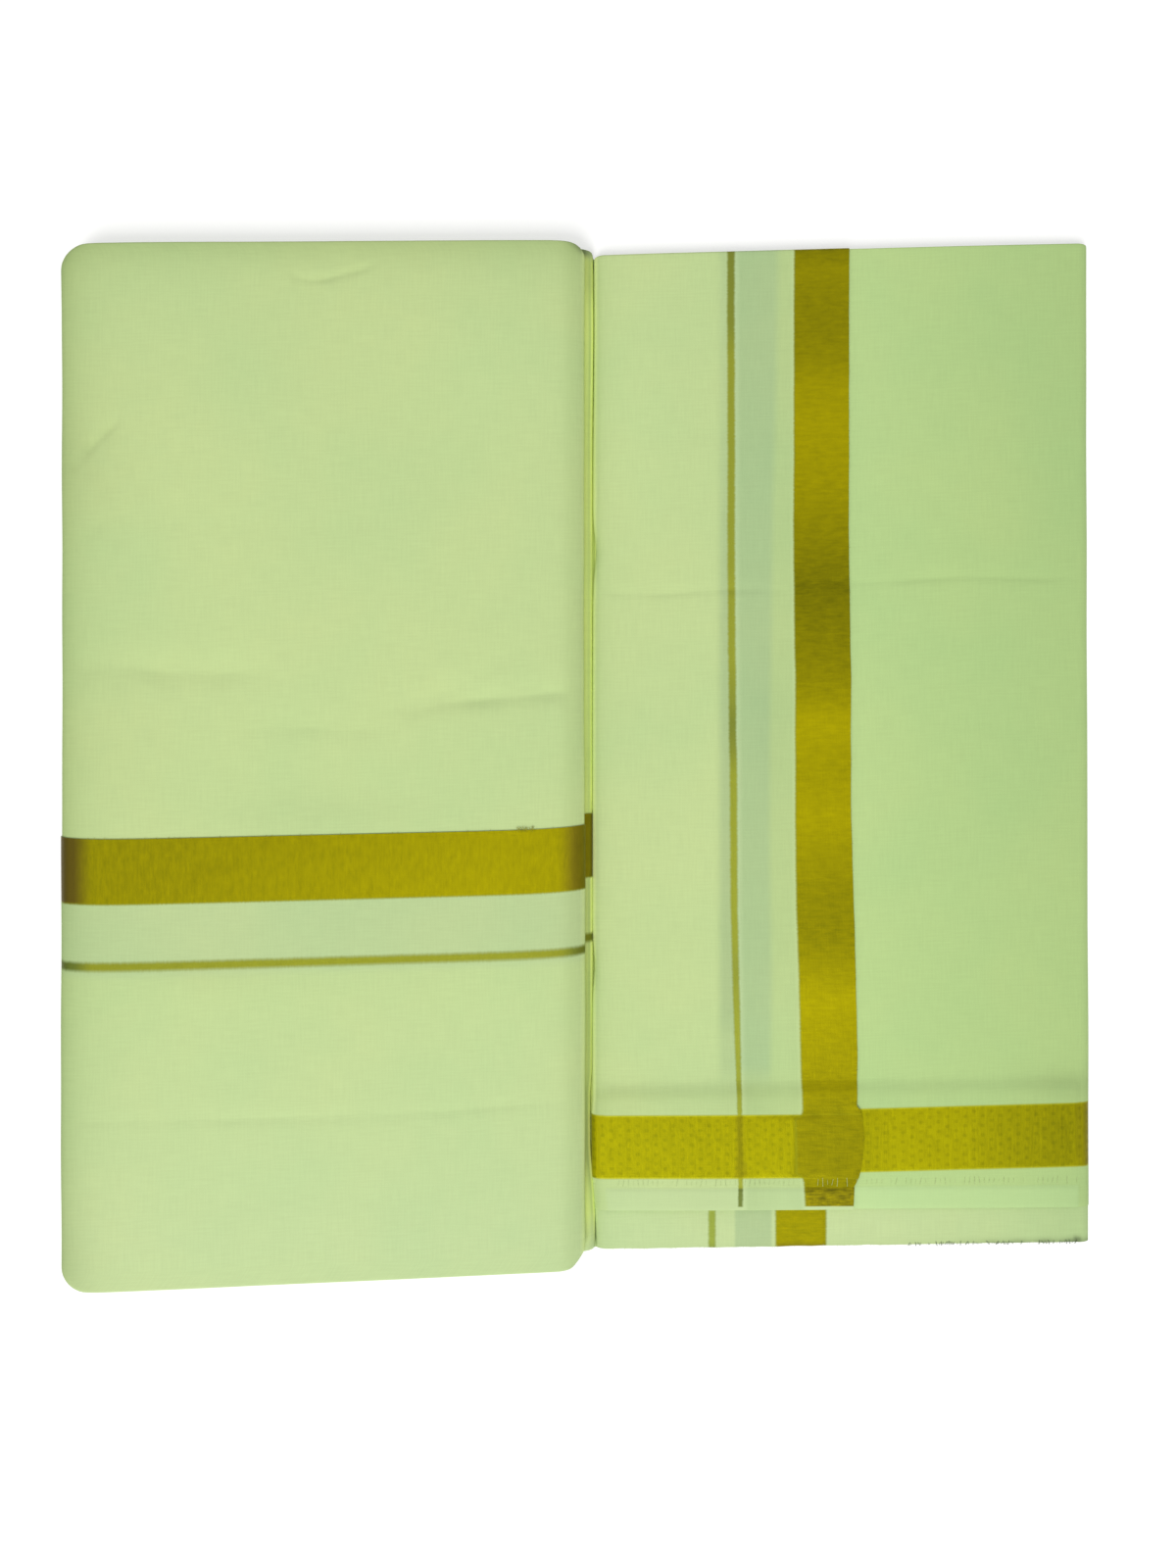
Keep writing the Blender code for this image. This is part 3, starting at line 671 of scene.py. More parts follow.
def soft_waves(x, y, seed, longest, shortest, high, count=14):
    """Sum of plane waves in random directions, about high tall."""
    rng = np.random.default_rng(seed)
    total = np.zeros(np.broadcast(x, y).shape)
    for _ in range(count):
        angle = rng.uniform(0, math.pi)
        turn = 2 * math.pi / rng.uniform(shortest, longest)
        phase = rng.uniform(0, 2 * math.pi)
        total += np.sin(turn * (x * math.cos(angle) + y * math.sin(angle)) + phase)
    return total * high / math.sqrt(count)


WAVE_TALL = 0.16 * MM
RIPPLE_LOW = 0.030 * MM


def from_middle(value, low, high):
    """-1 at low, 0 half way and 1 at high."""
    return np.clip((2 * value - low - high) / (high - low), -1.0, 1.0)


def top_height(x, y, x_from, x_to, creases, seed):
    """The soft top of a leaf: a low crown, long waves, small ripples and creases."""
    across = from_middle(x, x_from, x_to)
    crown = PUFF * (1 - across ** 4)
    waves = soft_waves(x, y, seed, 0.26, 0.09, WAVE_TALL)
    ripples = soft_waves(x, y, seed + 1, 0.045, 0.018, RIPPLE_LOW)
    return crown + (waves + ripples) * (1 - across ** 8) + crease_height(x, y, creases)


grid_x, grid_y = np.meshgrid(np.linspace(-0.3, 0.0, 90), np.linspace(-0.3, 0.3, 160))
sample = top_height(grid_x, grid_y, LEFT_X, UPPER_FOLD_X, LEFT_CREASES, 11)
print(f"left top from {sample.min() / MM:.2f} to {sample.max() / MM:.2f} mm")

# %% [markdown]
# ## Tone and shine
#
# Beside a fold the cotton is painted darker and yellower for a few centimetres: painted
# shade where the cloth rounds away, and the yellow of light coming through it. That is
# worked out from the distance to the fold, with a short and a long fading.

# %% Painted shade beside a fold
def fading(distance, length):
    """1 at a fold, falling away over a length."""
    return np.exp(-np.maximum(distance, 0.0) / length)


Fade = namedtuple("Fade", "share length")


def faded(distance, fades):
    """Share of darkening that a few fadings give together."""
    return sum(fade.share * fading(distance, fade.length) for fade in fades)


def darker(*shares):
    """Red, green and blue left when shares of painted shade add up."""
    total = sum(shares)
    return 1 - total, 1 - 0.9 * total, 1 - 1.15 * total


print("tone 10 mm from a fold:", darker(0.12 * fading(10 * MM, 25 * MM)))

# %% Soft patches of painted light and shade, where hidden layers lift the top
PaintedPatch = namedtuple("PaintedPatch", "x y wide tall share")
PAINTED_LIGHT_AND_SHADE = (
    PaintedPatch(-303, 178, 30, 34, -0.050),
    PaintedPatch(-50, 232, 52, 46, 0.025),
    PaintedPatch(-155, -32, 60, 12, -0.040),
    PaintedPatch(-222, -131, 56, 8, -0.042),
    PaintedPatch(-275, 8, 42, 48, -0.025),
    PaintedPatch(-45, -160, 40, 50, 0.016),
    PaintedPatch(-310, -308, 14, 26, -0.050),
    PaintedPatch(4.5, 316, 4.5, 4.5, -0.500),
    PaintedPatch(33, 205, 26, 78, 0.032),
    PaintedPatch(308, -201, 30, 12, -0.125),
    PaintedPatch(314, -272, 24, 32, -0.050),
    PaintedPatch(122, 20, 14, 45, -0.030),
    PaintedPatch(98, -207, 12, 18, -0.045),
    PaintedPatch(84, -273, 24, 18, -0.035),
    PaintedPatch(60, -202, 60, 8, -0.025),
)


def with_painted_light_and_shade(x, y, tone):
    """A tone with the soft patches of painted light and shade on it."""
    lift = 1.0
    for patch in PAINTED_LIGHT_AND_SHADE:
        inside = bell(x, patch.x * MM, patch.wide * MM) * bell(y, patch.y * MM, patch.tall * MM)
        lift = lift + patch.share * inside
    return tuple(part * lift for part in tone)


def blend(first, share, second):
    """Two tones mixed by a share."""
    return tuple(a * (1 - share) + b * share for a, b in zip(first, second))


print(len(PAINTED_LIGHT_AND_SHADE), "soft places")

# %% [markdown]
# ## One way to make every sheet
#
# Each sheet is a grid of points. A row is the section across the leaf at one height, from
# edge to edge round the folds, and the rows run up the leaf. NumPy works out all rows at
# once, which keeps tens of thousands of points quick. Solidify then gives the sheet its
# real thickness, inwards, so that the outer face stays where the frame has it.

# %% Points of a section
SHEET_THICK = 0.45 * MM


def corner_inset(from_end, radius):
    """How far a rounded corner pulls the side in, at a distance from the leaf's end."""
    run = np.clip(radius - np.maximum(from_end, 0.0), 0.0, radius)
    return radius - np.sqrt(radius * radius - run * run)


def cut_corner(from_end, across, along, power):
    """The same for a corner that is cut off nearly straight."""
    run = np.clip(1 - np.maximum(from_end, 0.0) / along, 0.0, 1.0)
    return across * (1 - (1 - run ** power) ** (1 / power))


def arc(centre_x, centre_z, reach, half_tall, start, end, steps):
    """Part of an upright ellipse in each row: a pair of arrays, one column for each point."""
    angle = np.radians(np.linspace(start, end, steps + 1))[None, :]
    return centre_x + reach * np.cos(angle), centre_z + half_tall * np.sin(angle)


def flat_run(x_from, x_to, z, steps, free=None):
    """Level stretch of each row, without its ends except the one that is free."""
    share = np.linspace(0.0, 1.0, steps + 1)[None, :]
    share = share[:, 0 if free == "first" else 1:None if free == "last" else -1]
    x = x_from + (x_to - x_from) * share
    return x, z + 0.0 * x


def side_by_side(parts, zero):
    """A section's parts as rows of x and z, with each point's part number.

    zero holds a 0 for each row, so that parts that are alike in every row are repeated.
    """
    x = np.concatenate([part[0] + zero for part in parts], axis=1)
    z = np.concatenate([part[1] + zero for part in parts], axis=1)
    return x, z, np.repeat(np.arange(len(parts)), [part[0].shape[1] for part in parts])


# %% How level lines lean
def lean(y, x, table):
    """Real Y of the cloth's level lines at x."""
    return y + column(table, "rise", y) * (x - LEVEL_FROM_X[table])


def border_bend(x, y):
    """How far the level border climbs where it turns round the two folds."""
    at_left = 2.8 * MM * fading(x - LEFT_X, 14 * MM)
    at_right = 2.6 * MM * fading(UPPER_FOLD_X - x, 16 * MM)
    near_border = grade(y, LEVEL_SELVEDGE_Y - 150 * MM, LEVEL_SELVEDGE_Y - 90 * MM)
    return (at_left + at_right - 0.8 * MM) * near_border


def developed(x, z):
    """Length along each row from its first point."""
    step = np.hypot(np.diff(x, axis=1), np.diff(z, axis=1))
    return np.concatenate([np.zeros((len(x), 1)), np.cumsum(step, axis=1)], axis=1)


# %% From a grid of points to an object
def carry(mesh, shape, thread, place, tone, shine):
    """Store the four attributes at a mesh's points."""
    for label, values in (("thread", thread), ("place", place), ("tone", tone)):
        carried = mesh.attributes.new(label, "FLOAT_VECTOR", "POINT")
        flat = np.stack([np.broadcast_to(part, shape) for part in values], axis=-1)
        carried.data.foreach_set("vector", flat.astype(np.float32).ravel())
    carried = mesh.attributes.new("shine", "FLOAT", "POINT")
    carried.data.foreach_set("value", np.broadcast_to(shine, shape).astype(np.float32).ravel())


def sheet_object(name, x, y, z, thread, place, tone, shine, material):
    """A sheet of cloth with thickness, its attributes and its material."""
    rows, columns = x.shape
    points = np.stack([x, y, z], axis=-1).reshape(-1, 3)
    corner = np.arange(rows * columns).reshape(rows, columns)
    quads = np.stack([corner[:-1, :-1], corner[1:, :-1], corner[1:, 1:], corner[:-1, 1:]],
                     axis=-1).reshape(-1, 4)
    mesh = bpy.data.meshes.new(name)
    mesh.from_pydata(points.tolist(), [], quads.tolist())
    carry(mesh, x.shape, thread, place, tone, shine)
    mesh.materials.append(material)
    piece = bpy.data.objects.new(name, mesh)
    bpy.context.scene.collection.objects.link(piece)
    shell = piece.modifiers.new("thickness", "SOLIDIFY")
    shell.thickness = SHEET_THICK
    shell.offset = -1.0
    return harden(piece)


# %% From modifiers to a finished piece
CRISP = 55
CRISP_THREAD = 85
CRISP_STACK = 70


def harden(piece, crisp=CRISP):
    """Apply an object's modifiers, shade it smooth and keep its cut edges crisp."""
    graph = bpy.context.evaluated_depsgraph_get()
    finished = bpy.data.meshes.new_from_object(piece.evaluated_get(graph))
    old = piece.data
    piece.modifiers.clear()
    piece.data = finished
    finished.name = piece.name
    if old.users == 0:
        bpy.data.meshes.remove(old)
    finished.shade_smooth()
    finished.set_sharp_from_angle(angle=math.radians(crisp))
    return piece


def report(piece):
    """Print a piece's size."""
    piece.data.calc_loop_triangles()
    print(f"{piece.name}: {len(piece.data.loop_triangles)} triangles")


def declare(piece, node):
    """Attach a sheet to the root, hide the frame's part that it stands for and print its number
    of triangles.
    """
    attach(piece, "root")
    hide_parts(node)
    report(piece)


# %% [markdown]
# ## Stitches, tufts and loose ends
#
# Small threads repeat along lines: the slanted stitches of the hem, the tufts that stand
# out of the woven edges and the loose ends along the cut foot. One Geometry Nodes tree
# makes them all. It turns a line of points into a curve, sets an arched thread on it every
# so often, and turns and sizes each one by chance. Its inputs are named, so that each row
# of threads gives its own spacing, length and spread.

# %% Inputs of the threads' tree
Threads = namedtuple("Threads", "spacing length rise radius share turn spread seed")
THREAD_INPUTS = (
    ("spacing", "Distance from thread to thread", "NodeSocketFloat"),
    ("length", "Length of a thread", "NodeSocketFloat"),
    ("rise", "Height of its arch", "NodeSocketFloat"),
    ("radius", "Radius of a thread", "NodeSocketFloat"),
    ("share", "Share of places with a thread", "NodeSocketFloat"),
    ("turn", "Turn against the line", "NodeSocketFloat"),
    ("spread", "Spread of the turn", "NodeSocketFloat"),
    ("seed", "Seed", "NodeSocketInt"),
)


class TreeBuilder:
    """Adds nodes to a Geometry Nodes tree and joins them up."""

    def __init__(self, name):
        self.tree = bpy.data.node_groups.new(name, "GeometryNodeTree")

    def add(self, kind, **settings):
        """A new node with some of its settings."""
        node = self.tree.nodes.new(kind)
        for name, value in settings.items():
            setattr(node, name, value)
        return node

    def feed(self, socket, value):
        """A number or another node's output into a socket."""
        if isinstance(value, bpy.types.NodeSocket):
            self.tree.links.new(value, socket)
        else:
            socket.default_value = value

    def number(self, operation, first, second):
        """One step of arithmetic."""
        node = self.add("ShaderNodeMath", operation=operation)
        self.feed(node.inputs[0], first)
        self.feed(node.inputs[1], second)
        return node.outputs[0]

    def chance(self, low, high, seed):
        """A number between low and high, another one for each thread."""
        node = self.add("FunctionNodeRandomValue", data_type="FLOAT")
        floats = [socket for socket in node.inputs if socket.type == "VALUE"]
        self.feed(floats[0], low)
        self.feed(floats[1], high)
        self.feed(node.inputs["Seed"], seed)
        return [socket for socket in node.outputs if socket.type == "VALUE"][0]


# %% One arched thread
ARCH_STEPS = 5
STRAND_SIDES = 5


def arched_strand(tree, length, rise, radius):
    """A thin round strand along a low arch."""
    start, middle, end = (tree.add("ShaderNodeCombineXYZ") for _ in range(3))
    tree.feed(start.inputs["X"], tree.number("MULTIPLY", length, -0.5))
    tree.feed(middle.inputs["Z"], rise)
    tree.feed(end.inputs["X"], tree.number("MULTIPLY", length, 0.5))
    arch = tree.add("GeometryNodeCurveQuadraticBezier")
    arch.inputs["Resolution"].default_value = ARCH_STEPS
    for name, point in (("Start", start), ("Middle", middle), ("End", end)):
        tree.feed(arch.inputs[name], point.outputs[0])
    ring = tree.add("GeometryNodeCurvePrimitiveCircle")
    ring.inputs["Resolution"].default_value = STRAND_SIDES
    tree.feed(ring.inputs["Radius"], radius)
    strand = tree.add("GeometryNodeCurveToMesh")
    tree.feed(strand.inputs["Curve"], arch.outputs["Curve"])
    tree.feed(strand.inputs["Profile Curve"], ring.outputs["Curve"])
    strand.inputs["Fill Caps"].default_value = True
    return strand.outputs["Mesh"]


# %% Threads set along a line
SIZE_LOW, SIZE_HIGH = 0.6, 1.3
SIZE_SEED, TURN_SEED = 101, 202    # added to a row's own seed


def set_along(tree, line, spacing, strand, share, size, seed):
    """Strands at even places along a line of points, some left out by chance."""
    path = tree.add("GeometryNodeMeshToCurve")
    tree.feed(path.inputs["Mesh"], line)
    places = tree.add("GeometryNodeResampleCurve", mode="LENGTH")
    tree.feed(places.inputs["Curve"], path.outputs["Curve"])
    tree.feed(places.inputs["Length"], spacing)
    chosen = tree.add("FunctionNodeRandomValue", data_type="BOOLEAN")
    tree.feed(chosen.inputs["Probability"], share)
    tree.feed(chosen.inputs["Seed"], seed)
    level = tree.add("FunctionNodeAlignRotationToVector", axis="X", pivot_axis="Z")
    tree.feed(level.inputs["Vector"], tree.add("GeometryNodeInputTangent").outputs[0])
    scattered = tree.add("GeometryNodeInstanceOnPoints")
    tree.feed(scattered.inputs["Points"], places.outputs["Curve"])
    tree.feed(scattered.inputs["Selection"],
              [socket for socket in chosen.outputs if socket.type == "BOOLEAN"][0])
    tree.feed(scattered.inputs["Instance"], strand)
    tree.feed(scattered.inputs["Rotation"], level.outputs[0])
    tree.feed(scattered.inputs["Scale"], size)
    return scattered.outputs["Instances"]


def thread_tree(material):
    """Geometry Nodes tree that sets arched threads along a line of points."""
    tree = TreeBuilder("threads_along_a_line")
    face = tree.tree.interface
    face.new_socket("Line", in_out="INPUT", socket_type="NodeSocketGeometry")
    for _, label, kind in THREAD_INPUTS:
        face.new_socket(label, in_out="INPUT", socket_type=kind)
    face.new_socket("Threads", in_out="OUTPUT", socket_type="NodeSocketGeometry")

    given = tree.add("NodeGroupInput").outputs
    spacing, length, rise, radius, share, turn, spread, seed = given[1:9]
    size = tree.chance(SIZE_LOW, SIZE_HIGH, tree.number("ADD", seed, SIZE_SEED))
    strand = arched_strand(tree, length, rise, radius)
    threads = set_along(tree, given[0], spacing, strand, share, size, seed)
    angle = tree.chance(tree.number("SUBTRACT", turn, spread), tree.number("ADD", turn, spread),
                        tree.number("ADD", seed, TURN_SEED))
    about = tree.add("ShaderNodeCombineXYZ")
    tree.feed(about.inputs["Z"], angle)
    turned = tree.add("GeometryNodeRotateInstances")
    tree.feed(turned.inputs["Instances"], threads)
    tree.feed(turned.inputs["Rotation"], about.outputs[0])
    turned.inputs["Local Space"].default_value = True

    real = tree.add("GeometryNodeRealizeInstances")
    tree.feed(real.inputs["Geometry"], turned.outputs["Instances"])
    finish = tree.add("GeometryNodeSetMaterial")
    finish.inputs["Material"].default_value = material
    tree.feed(finish.inputs["Geometry"], real.outputs["Geometry"])
    tree.feed(tree.add("NodeGroupOutput").inputs[0], finish.outputs["Geometry"])
    return tree.tree


# %% Finish of a thread, and a row of threads
def thread_finish(name, colour, darker_colour, rough):
    """Finish of a single spun thread, lighter and darker along its twist."""
    material = bpy.data.materials.new(name)
    wires = Wiring(material)
    shader = material.node_tree.nodes["Principled BSDF"]
    solid = wires.add("ShaderNodeTexCoord").outputs["Object"]
    twist = wires.soft_step(wires.speckle(solid, 900.0, 2.0), 0.35, 0.65)
    wires.feed(shader.inputs["Base Color"], wires.mix(twist, darker_colour, colour))
    shader.inputs["Roughness"].default_value = rough
    shader.inputs["Specular IOR Level"].default_value = 0.05
    return material


def thread_row(name, x, y, z, tree, threads):
    """Threads along a line of points, as a finished mesh that rides with the cloth."""
    points = list(zip(*(map(float, np.ravel(part)) for part in np.broadcast_arrays(x, y, z))))
    mesh = bpy.data.meshes.new(name)
    mesh.from_pydata(points, [(i, i + 1) for i in range(len(points) - 1)], [])
    piece = bpy.data.objects.new(name, mesh)
    bpy.context.scene.collection.objects.link(piece)
    nodes = piece.modifiers.new("threads", "NODES")
    nodes.node_group = tree
    sockets = [item for item in tree.interface.items_tree
               if item.item_type == "SOCKET" and item.in_out == "INPUT"]
    for (field, label, _), socket in zip(THREAD_INPUTS, sockets[1:]):
        assert socket.name == label
        nodes[socket.identifier] = getattr(threads, field)
    harden(piece, CRISP_THREAD)
    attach(piece, "root")
    report(piece)
    return piece


# %% Trees for the three sorts of thread
COTTON_TREE = thread_tree(thread_finish("cotton_thread", (0.50, 0.58, 0.30, 1.0),
                                        (0.36, 0.44, 0.20, 1.0), 0.9))
GOLD_TREE = thread_tree(thread_finish("gold_coloured_thread", (0.40, 0.38, 0.02, 1.0),
                                      (0.20, 0.20, 0.01, 1.0), 0.6))
# dark threads that paint the shadow between the layered cut ends
DARK_TREE = thread_tree(thread_finish("shaded_thread", (0.12, 0.16, 0.10, 1.0),
                                      (0.05, 0.07, 0.04, 1.0), 0.9))
print("trees:", len(bpy.data.node_groups))

# %% Table of the rows of threads
CROSSWISE = 1.57              # a quarter turn, in radians
LEVEL_TUFTS = Threads(3.5 * MM, 1.5 * MM, 0.5 * MM, 0.08 * MM, 0.40, CROSSWISE, 0.90, 5)
PULLED_TUFT = Threads(0.45 * MM, 3.4 * MM, 1.6 * MM, 0.11 * MM, 0.90, CROSSWISE, 0.80, 8)
UPRIGHT_TUFTS = Threads(4.0 * MM, 1.3 * MM, 0.5 * MM, 0.07 * MM, 0.35, CROSSWISE, 0.90, 6)
HEM_STITCHES = Threads(3.0 * MM, 4.2 * MM, 0.5 * MM, 0.10 * MM, 0.85, 1.50, 0.22, 7)
LOOSE_ENDS = Threads(1.5 * MM, 1.7 * MM, 0.35 * MM, 0.09 * MM, 0.55, CROSSWISE, 0.60, 9)
SHADED_ENDS = Threads(1.0 * MM, 2.4 * MM, 0.4 * MM, 0.19 * MM, 0.55, CROSSWISE, 0.90, 10)
print(f"a hem stitch every {HEM_STITCHES.spacing / MM:.0f} mm")

# %% [markdown]
# ## The thick leaf
#
# One section serves the whole leaf. It starts in the slot between the two right folds,
# rounds the upper fold, crosses the top, rounds the broad fold on the left, runs back
# along the underside and rounds the lower fold into the slot again. The front flap takes
# it as it is, and the middle layer lies a little inside it where the flap covers it.

# %% Section of the thick leaf
SLOT_CLOSE = 0.35 * MM        # how much further out its lower fold is than the frame's
LEFT_SPREAD = 0.7 * MM        # how far pressing has spread the broad fold
FOOT_CORNER = 17.0 * MM       # of the hidden layers, at the foot beside the slot
FOOT_CUT = (8.8 * MM, 12.5 * MM, 1.2)    # the foot's corner beside the slot: wide, tall, power
HIDDEN_TALL = 6.2 * MM        # of the stretch where the upper fold covers the lower one
HIDDEN_SOFT = 1.5 * MM
END_RADIUS = CLOTH + HALF_GAP    # of the folds at the foot and the head
END_STEPS = 9
TOP_STEPS = 112
UNDER_STEPS = 26
TUCK_STEPS = 5
FOLD_STEPS = 14
BROAD_STEPS = 20
ON_TOP, UNDERSIDE, LOWER_FOLD = 2, 4, 5    # places of these parts in a row
# how far the lower fold and the thin leaf's left fold wander to the right, at these heights
SWAY_Y = np.array([-298, -282, -262, -254, -222, -208, -60, 90, 105, 200, 228, 268]) * MM
LOWER_SWAY = np.array([1.8, 1.0, -0.9, -1.3, -1.3, 0, 0, 0, 0, 0, 0.2, 0.5]) * MM
SEAM_SWAY = np.array([2.0, 1.1, -0.7, -1.2, -1.2, -0.35, -0.35, -0.35, 0, 0, 0.3, 0.6]) * MM
print(f"folds at its ends are {2 * END_RADIUS / MM:.1f} mm thick")


# %% Wandering folds
def side_wander(y, seed):
    """How far a side fold strays from straight."""
    return soft_waves(y, 0.0, seed, 0.22, 0.05, 0.30 * MM, 8)


def lower_fold_hidden(y):
    """1 where the upper fold covers the lower one, at the leaf's foot."""
    hidden_y = LEFT_FOOT_Y + HIDDEN_TALL
    return grade(y, hidden_y, hidden_y - HIDDEN_SOFT)


def sway(y, table):
    """How far the slot's sides wander to the right, most at the foot."""
    return np.interp(y, SWAY_Y, table)


def settled(y):
    """How far the leaf's two ends lie from where the frame has them."""
    return np.interp(y, [LEFT_FOOT_Y, LEFT_FOOT_Y + 60 * MM, LEFT_HEAD_Y - 60 * MM, LEFT_HEAD_Y],
                     [-0.6 * MM, 0.0, 0.0, -0.8 * MM])


# %% Rows of the section
def left_section(y, deep, top, base, tuck):
    """Rows of x and z round the thick leaf, with each point's part number."""
    y, top, base, tuck = (value[:, None] for value in (y, top + deep, base + deep, tuck + deep))
    from_end = np.minimum(y - LEFT_FOOT_Y, LEFT_HEAD_Y - y) - top / 2
    pull = np.where(y > 0, corner_inset(from_end, RIGHT_CORNER),
                    cut_corner(from_end, *FOOT_CUT))
    x_spine = LEFT_X + corner_inset(from_end, LEFT_CORNER) + LEFT_REACH
    x_spine = x_spine - LEFT_SPREAD + side_wander(y, 21) * 0.7
    x_upper = UPPER_FOLD_X - pull - LEFT_REACH + side_wander(y, 22) * 0.7
    hidden = lower_fold_hidden(y)
    lower_pull = np.where(y > 0, corner_inset(from_end, SOFT_CORNER), pull * hidden)
    x_lower = LOWER_FOLD_X + SLOT_CLOSE - lower_pull - LEFT_REACH + side_wander(y, 23) * 0.5
    x_lower = x_lower - (LOWER_FOLD_X - UPPER_FOLD_X + SLOT_CLOSE) * hidden
    x_lower = x_lower + sway(y, LOWER_SWAY) * (1 - hidden)
    z_top = LEFT_TALL - top
    z_over = LEFT_TALL / 2 + HALF_GAP + tuck
    z_under = LEFT_TALL / 2 - HALF_GAP - tuck
    zero = 0.0 * y
    parts = [
        flat_run(x_upper - TUCK, x_upper, z_over, TUCK_STEPS),
        arc(x_upper, (z_top + z_over) / 2, LEFT_REACH - top, (z_top - z_over) / 2,
            -90, 90, FOLD_STEPS),
        flat_run(x_upper, x_spine, z_top, TOP_STEPS),
        arc(x_spine, (z_top + base) / 2, LEFT_REACH - top, (z_top - base) / 2,
            90, 270, BROAD_STEPS),
        flat_run(x_spine, x_lower, base + zero, UNDER_STEPS),
        arc(x_lower, (z_under + base) / 2, LEFT_REACH - base, (z_under - base) / 2,
            -90, 90, FOLD_STEPS),
        flat_run(x_lower, x_lower - TUCK, z_under, TUCK_STEPS),
    ]
    return side_by_side(parts, zero)


# %% Rows round a rolled edge
def rolled(radius, turn, steps):
    """Inward runs and depths of the rows round a rolled edge, without its first row."""
    angle = np.linspace(0.0, turn, steps + 1)[1:]
    return radius * (1 - np.sin(angle)), radius * (1 - np.cos(angle))


def fold_rows(end_y, inward):
    """Heights and depths of the rows round a folded end, from the outside in."""
    run, deep = rolled(END_RADIUS, math.pi, END_STEPS)
    run = np.append(run, END_RADIUS + RETURN_RUN)
    return end_y + inward * run, np.append(deep, 2 * END_RADIUS)


# %% Tone of the thick leaf: painted shade beside its folds, painted light in the slot
LEFT_FADES = (Fade(0.12, 26 * MM), Fade(0.31, 8 * MM))
RIGHT_FADES = (Fade(0.04, 22 * MM),)
HEAD_FADES = (Fade(0.21, 12 * MM), Fade(0.03, 60 * MM))
ROUNDING = 0.10               # painted shade of the upper fold, which starts to turn down 7 mm before its edge
COOLER_FOOT = 0.09
# painted light on the edge of the upper fold
UPPER_FOLD_PAINTED_LIGHT = (1.22, 1.20, 1.05)
# the lower fold's yellow, painted as light coming through it
LOWER_FOLD_TONE = (1.00, 1.01, 0.68)
# painted light that lifts the slot and the joining sheet out of their shade
SLOT_PAINTED_LIGHT = (1.55, 1.45, 0.95)
SLOT_RIGHT_PAINTED_LIGHT = (1.34, 1.26, 1.20)    # painted light on the thin leaf's fold beside the slot
# painted shade in the slot, at these heights
SLOT_DIM_Y = np.array([-290, -275, -258, -248, -228, -180, -60, 282, 296, 308]) * MM
SLOT_DIM = (1.04, 0.98, 0.90, 0.78, 0.78, 0.86, 1.0, 1.0, 0.86, 0.86)
SLOT_MIDDLE = UPPER_FOLD_X + 2.9 * MM
SLOT_SIDE = np.array([-3.4, -2.6, -1.2, -0.2, 0.2, 1.2]) * MM    # across the lower fold
SLOT_LIGHT = (1.0, 0.45, 0.35, -0.3, -0.15, 1.6)    # share of the slot's painted light there


def left_tone(x, y, rows, kind):
    """Red, green and blue of the thick leaf, with painted shade at its folds and painted light
    glowing in the slot.
    """
    from_right = UPPER_FOLD_X - x
    from_head = lean(LEFT_HEAD_Y + 0.0 * x, x, LEFT_LEAN) - y
    red, green, blue = darker(faded(x - LEFT_X, LEFT_FADES), faded(from_right, RIGHT_FADES),
                              faded(from_head, HEAD_FADES),
                              ROUNDING * bell(from_right, 7 * MM, 6 * MM))
    cooler = 1 + COOLER_FOOT * grade(y, -140 * MM, -290 * MM)
    tone = with_painted_light_and_shade(x, y, (red, green, blue * cooler))
    upper_side = grade(from_right, 2.5 * MM, 0.5 * MM) * (kind <= ON_TOP)
    tone = blend(tone, upper_side, UPPER_FOLD_PAINTED_LIGHT)
    light = np.interp(x - SLOT_MIDDLE - sway(rows, LOWER_SWAY), SLOT_SIDE, SLOT_LIGHT)
    dimmer = np.interp(y, SLOT_DIM_Y, SLOT_DIM)
    glow = tuple(part * dimmer for part in blend(LOWER_FOLD_TONE, light, SLOT_PAINTED_LIGHT))
    from_ends = np.minimum(grade(rows, LEFT_FOOT_Y + 6 * MM, LEFT_FOOT_Y + 30 * MM),
                           grade(rows, LEFT_HEAD_Y - 3 * MM, LEFT_HEAD_Y - 8 * MM))
    return blend(tone, from_ends * (kind >= LOWER_FOLD), glow)


# %% One sheet of the thick leaf
LEFT_TOP_SPAN = (LEFT_X + LEFT_REACH, UPPER_FOLD_X - LEFT_REACH)
LEFT_SEED = 11
LEVEL_SHINE_X = (-240 * MM, -100 * MM, -50 * MM, UPPER_FOLD_X)
LEVEL_SHINE = (0.42, 0.48, 0.52, 0.50)


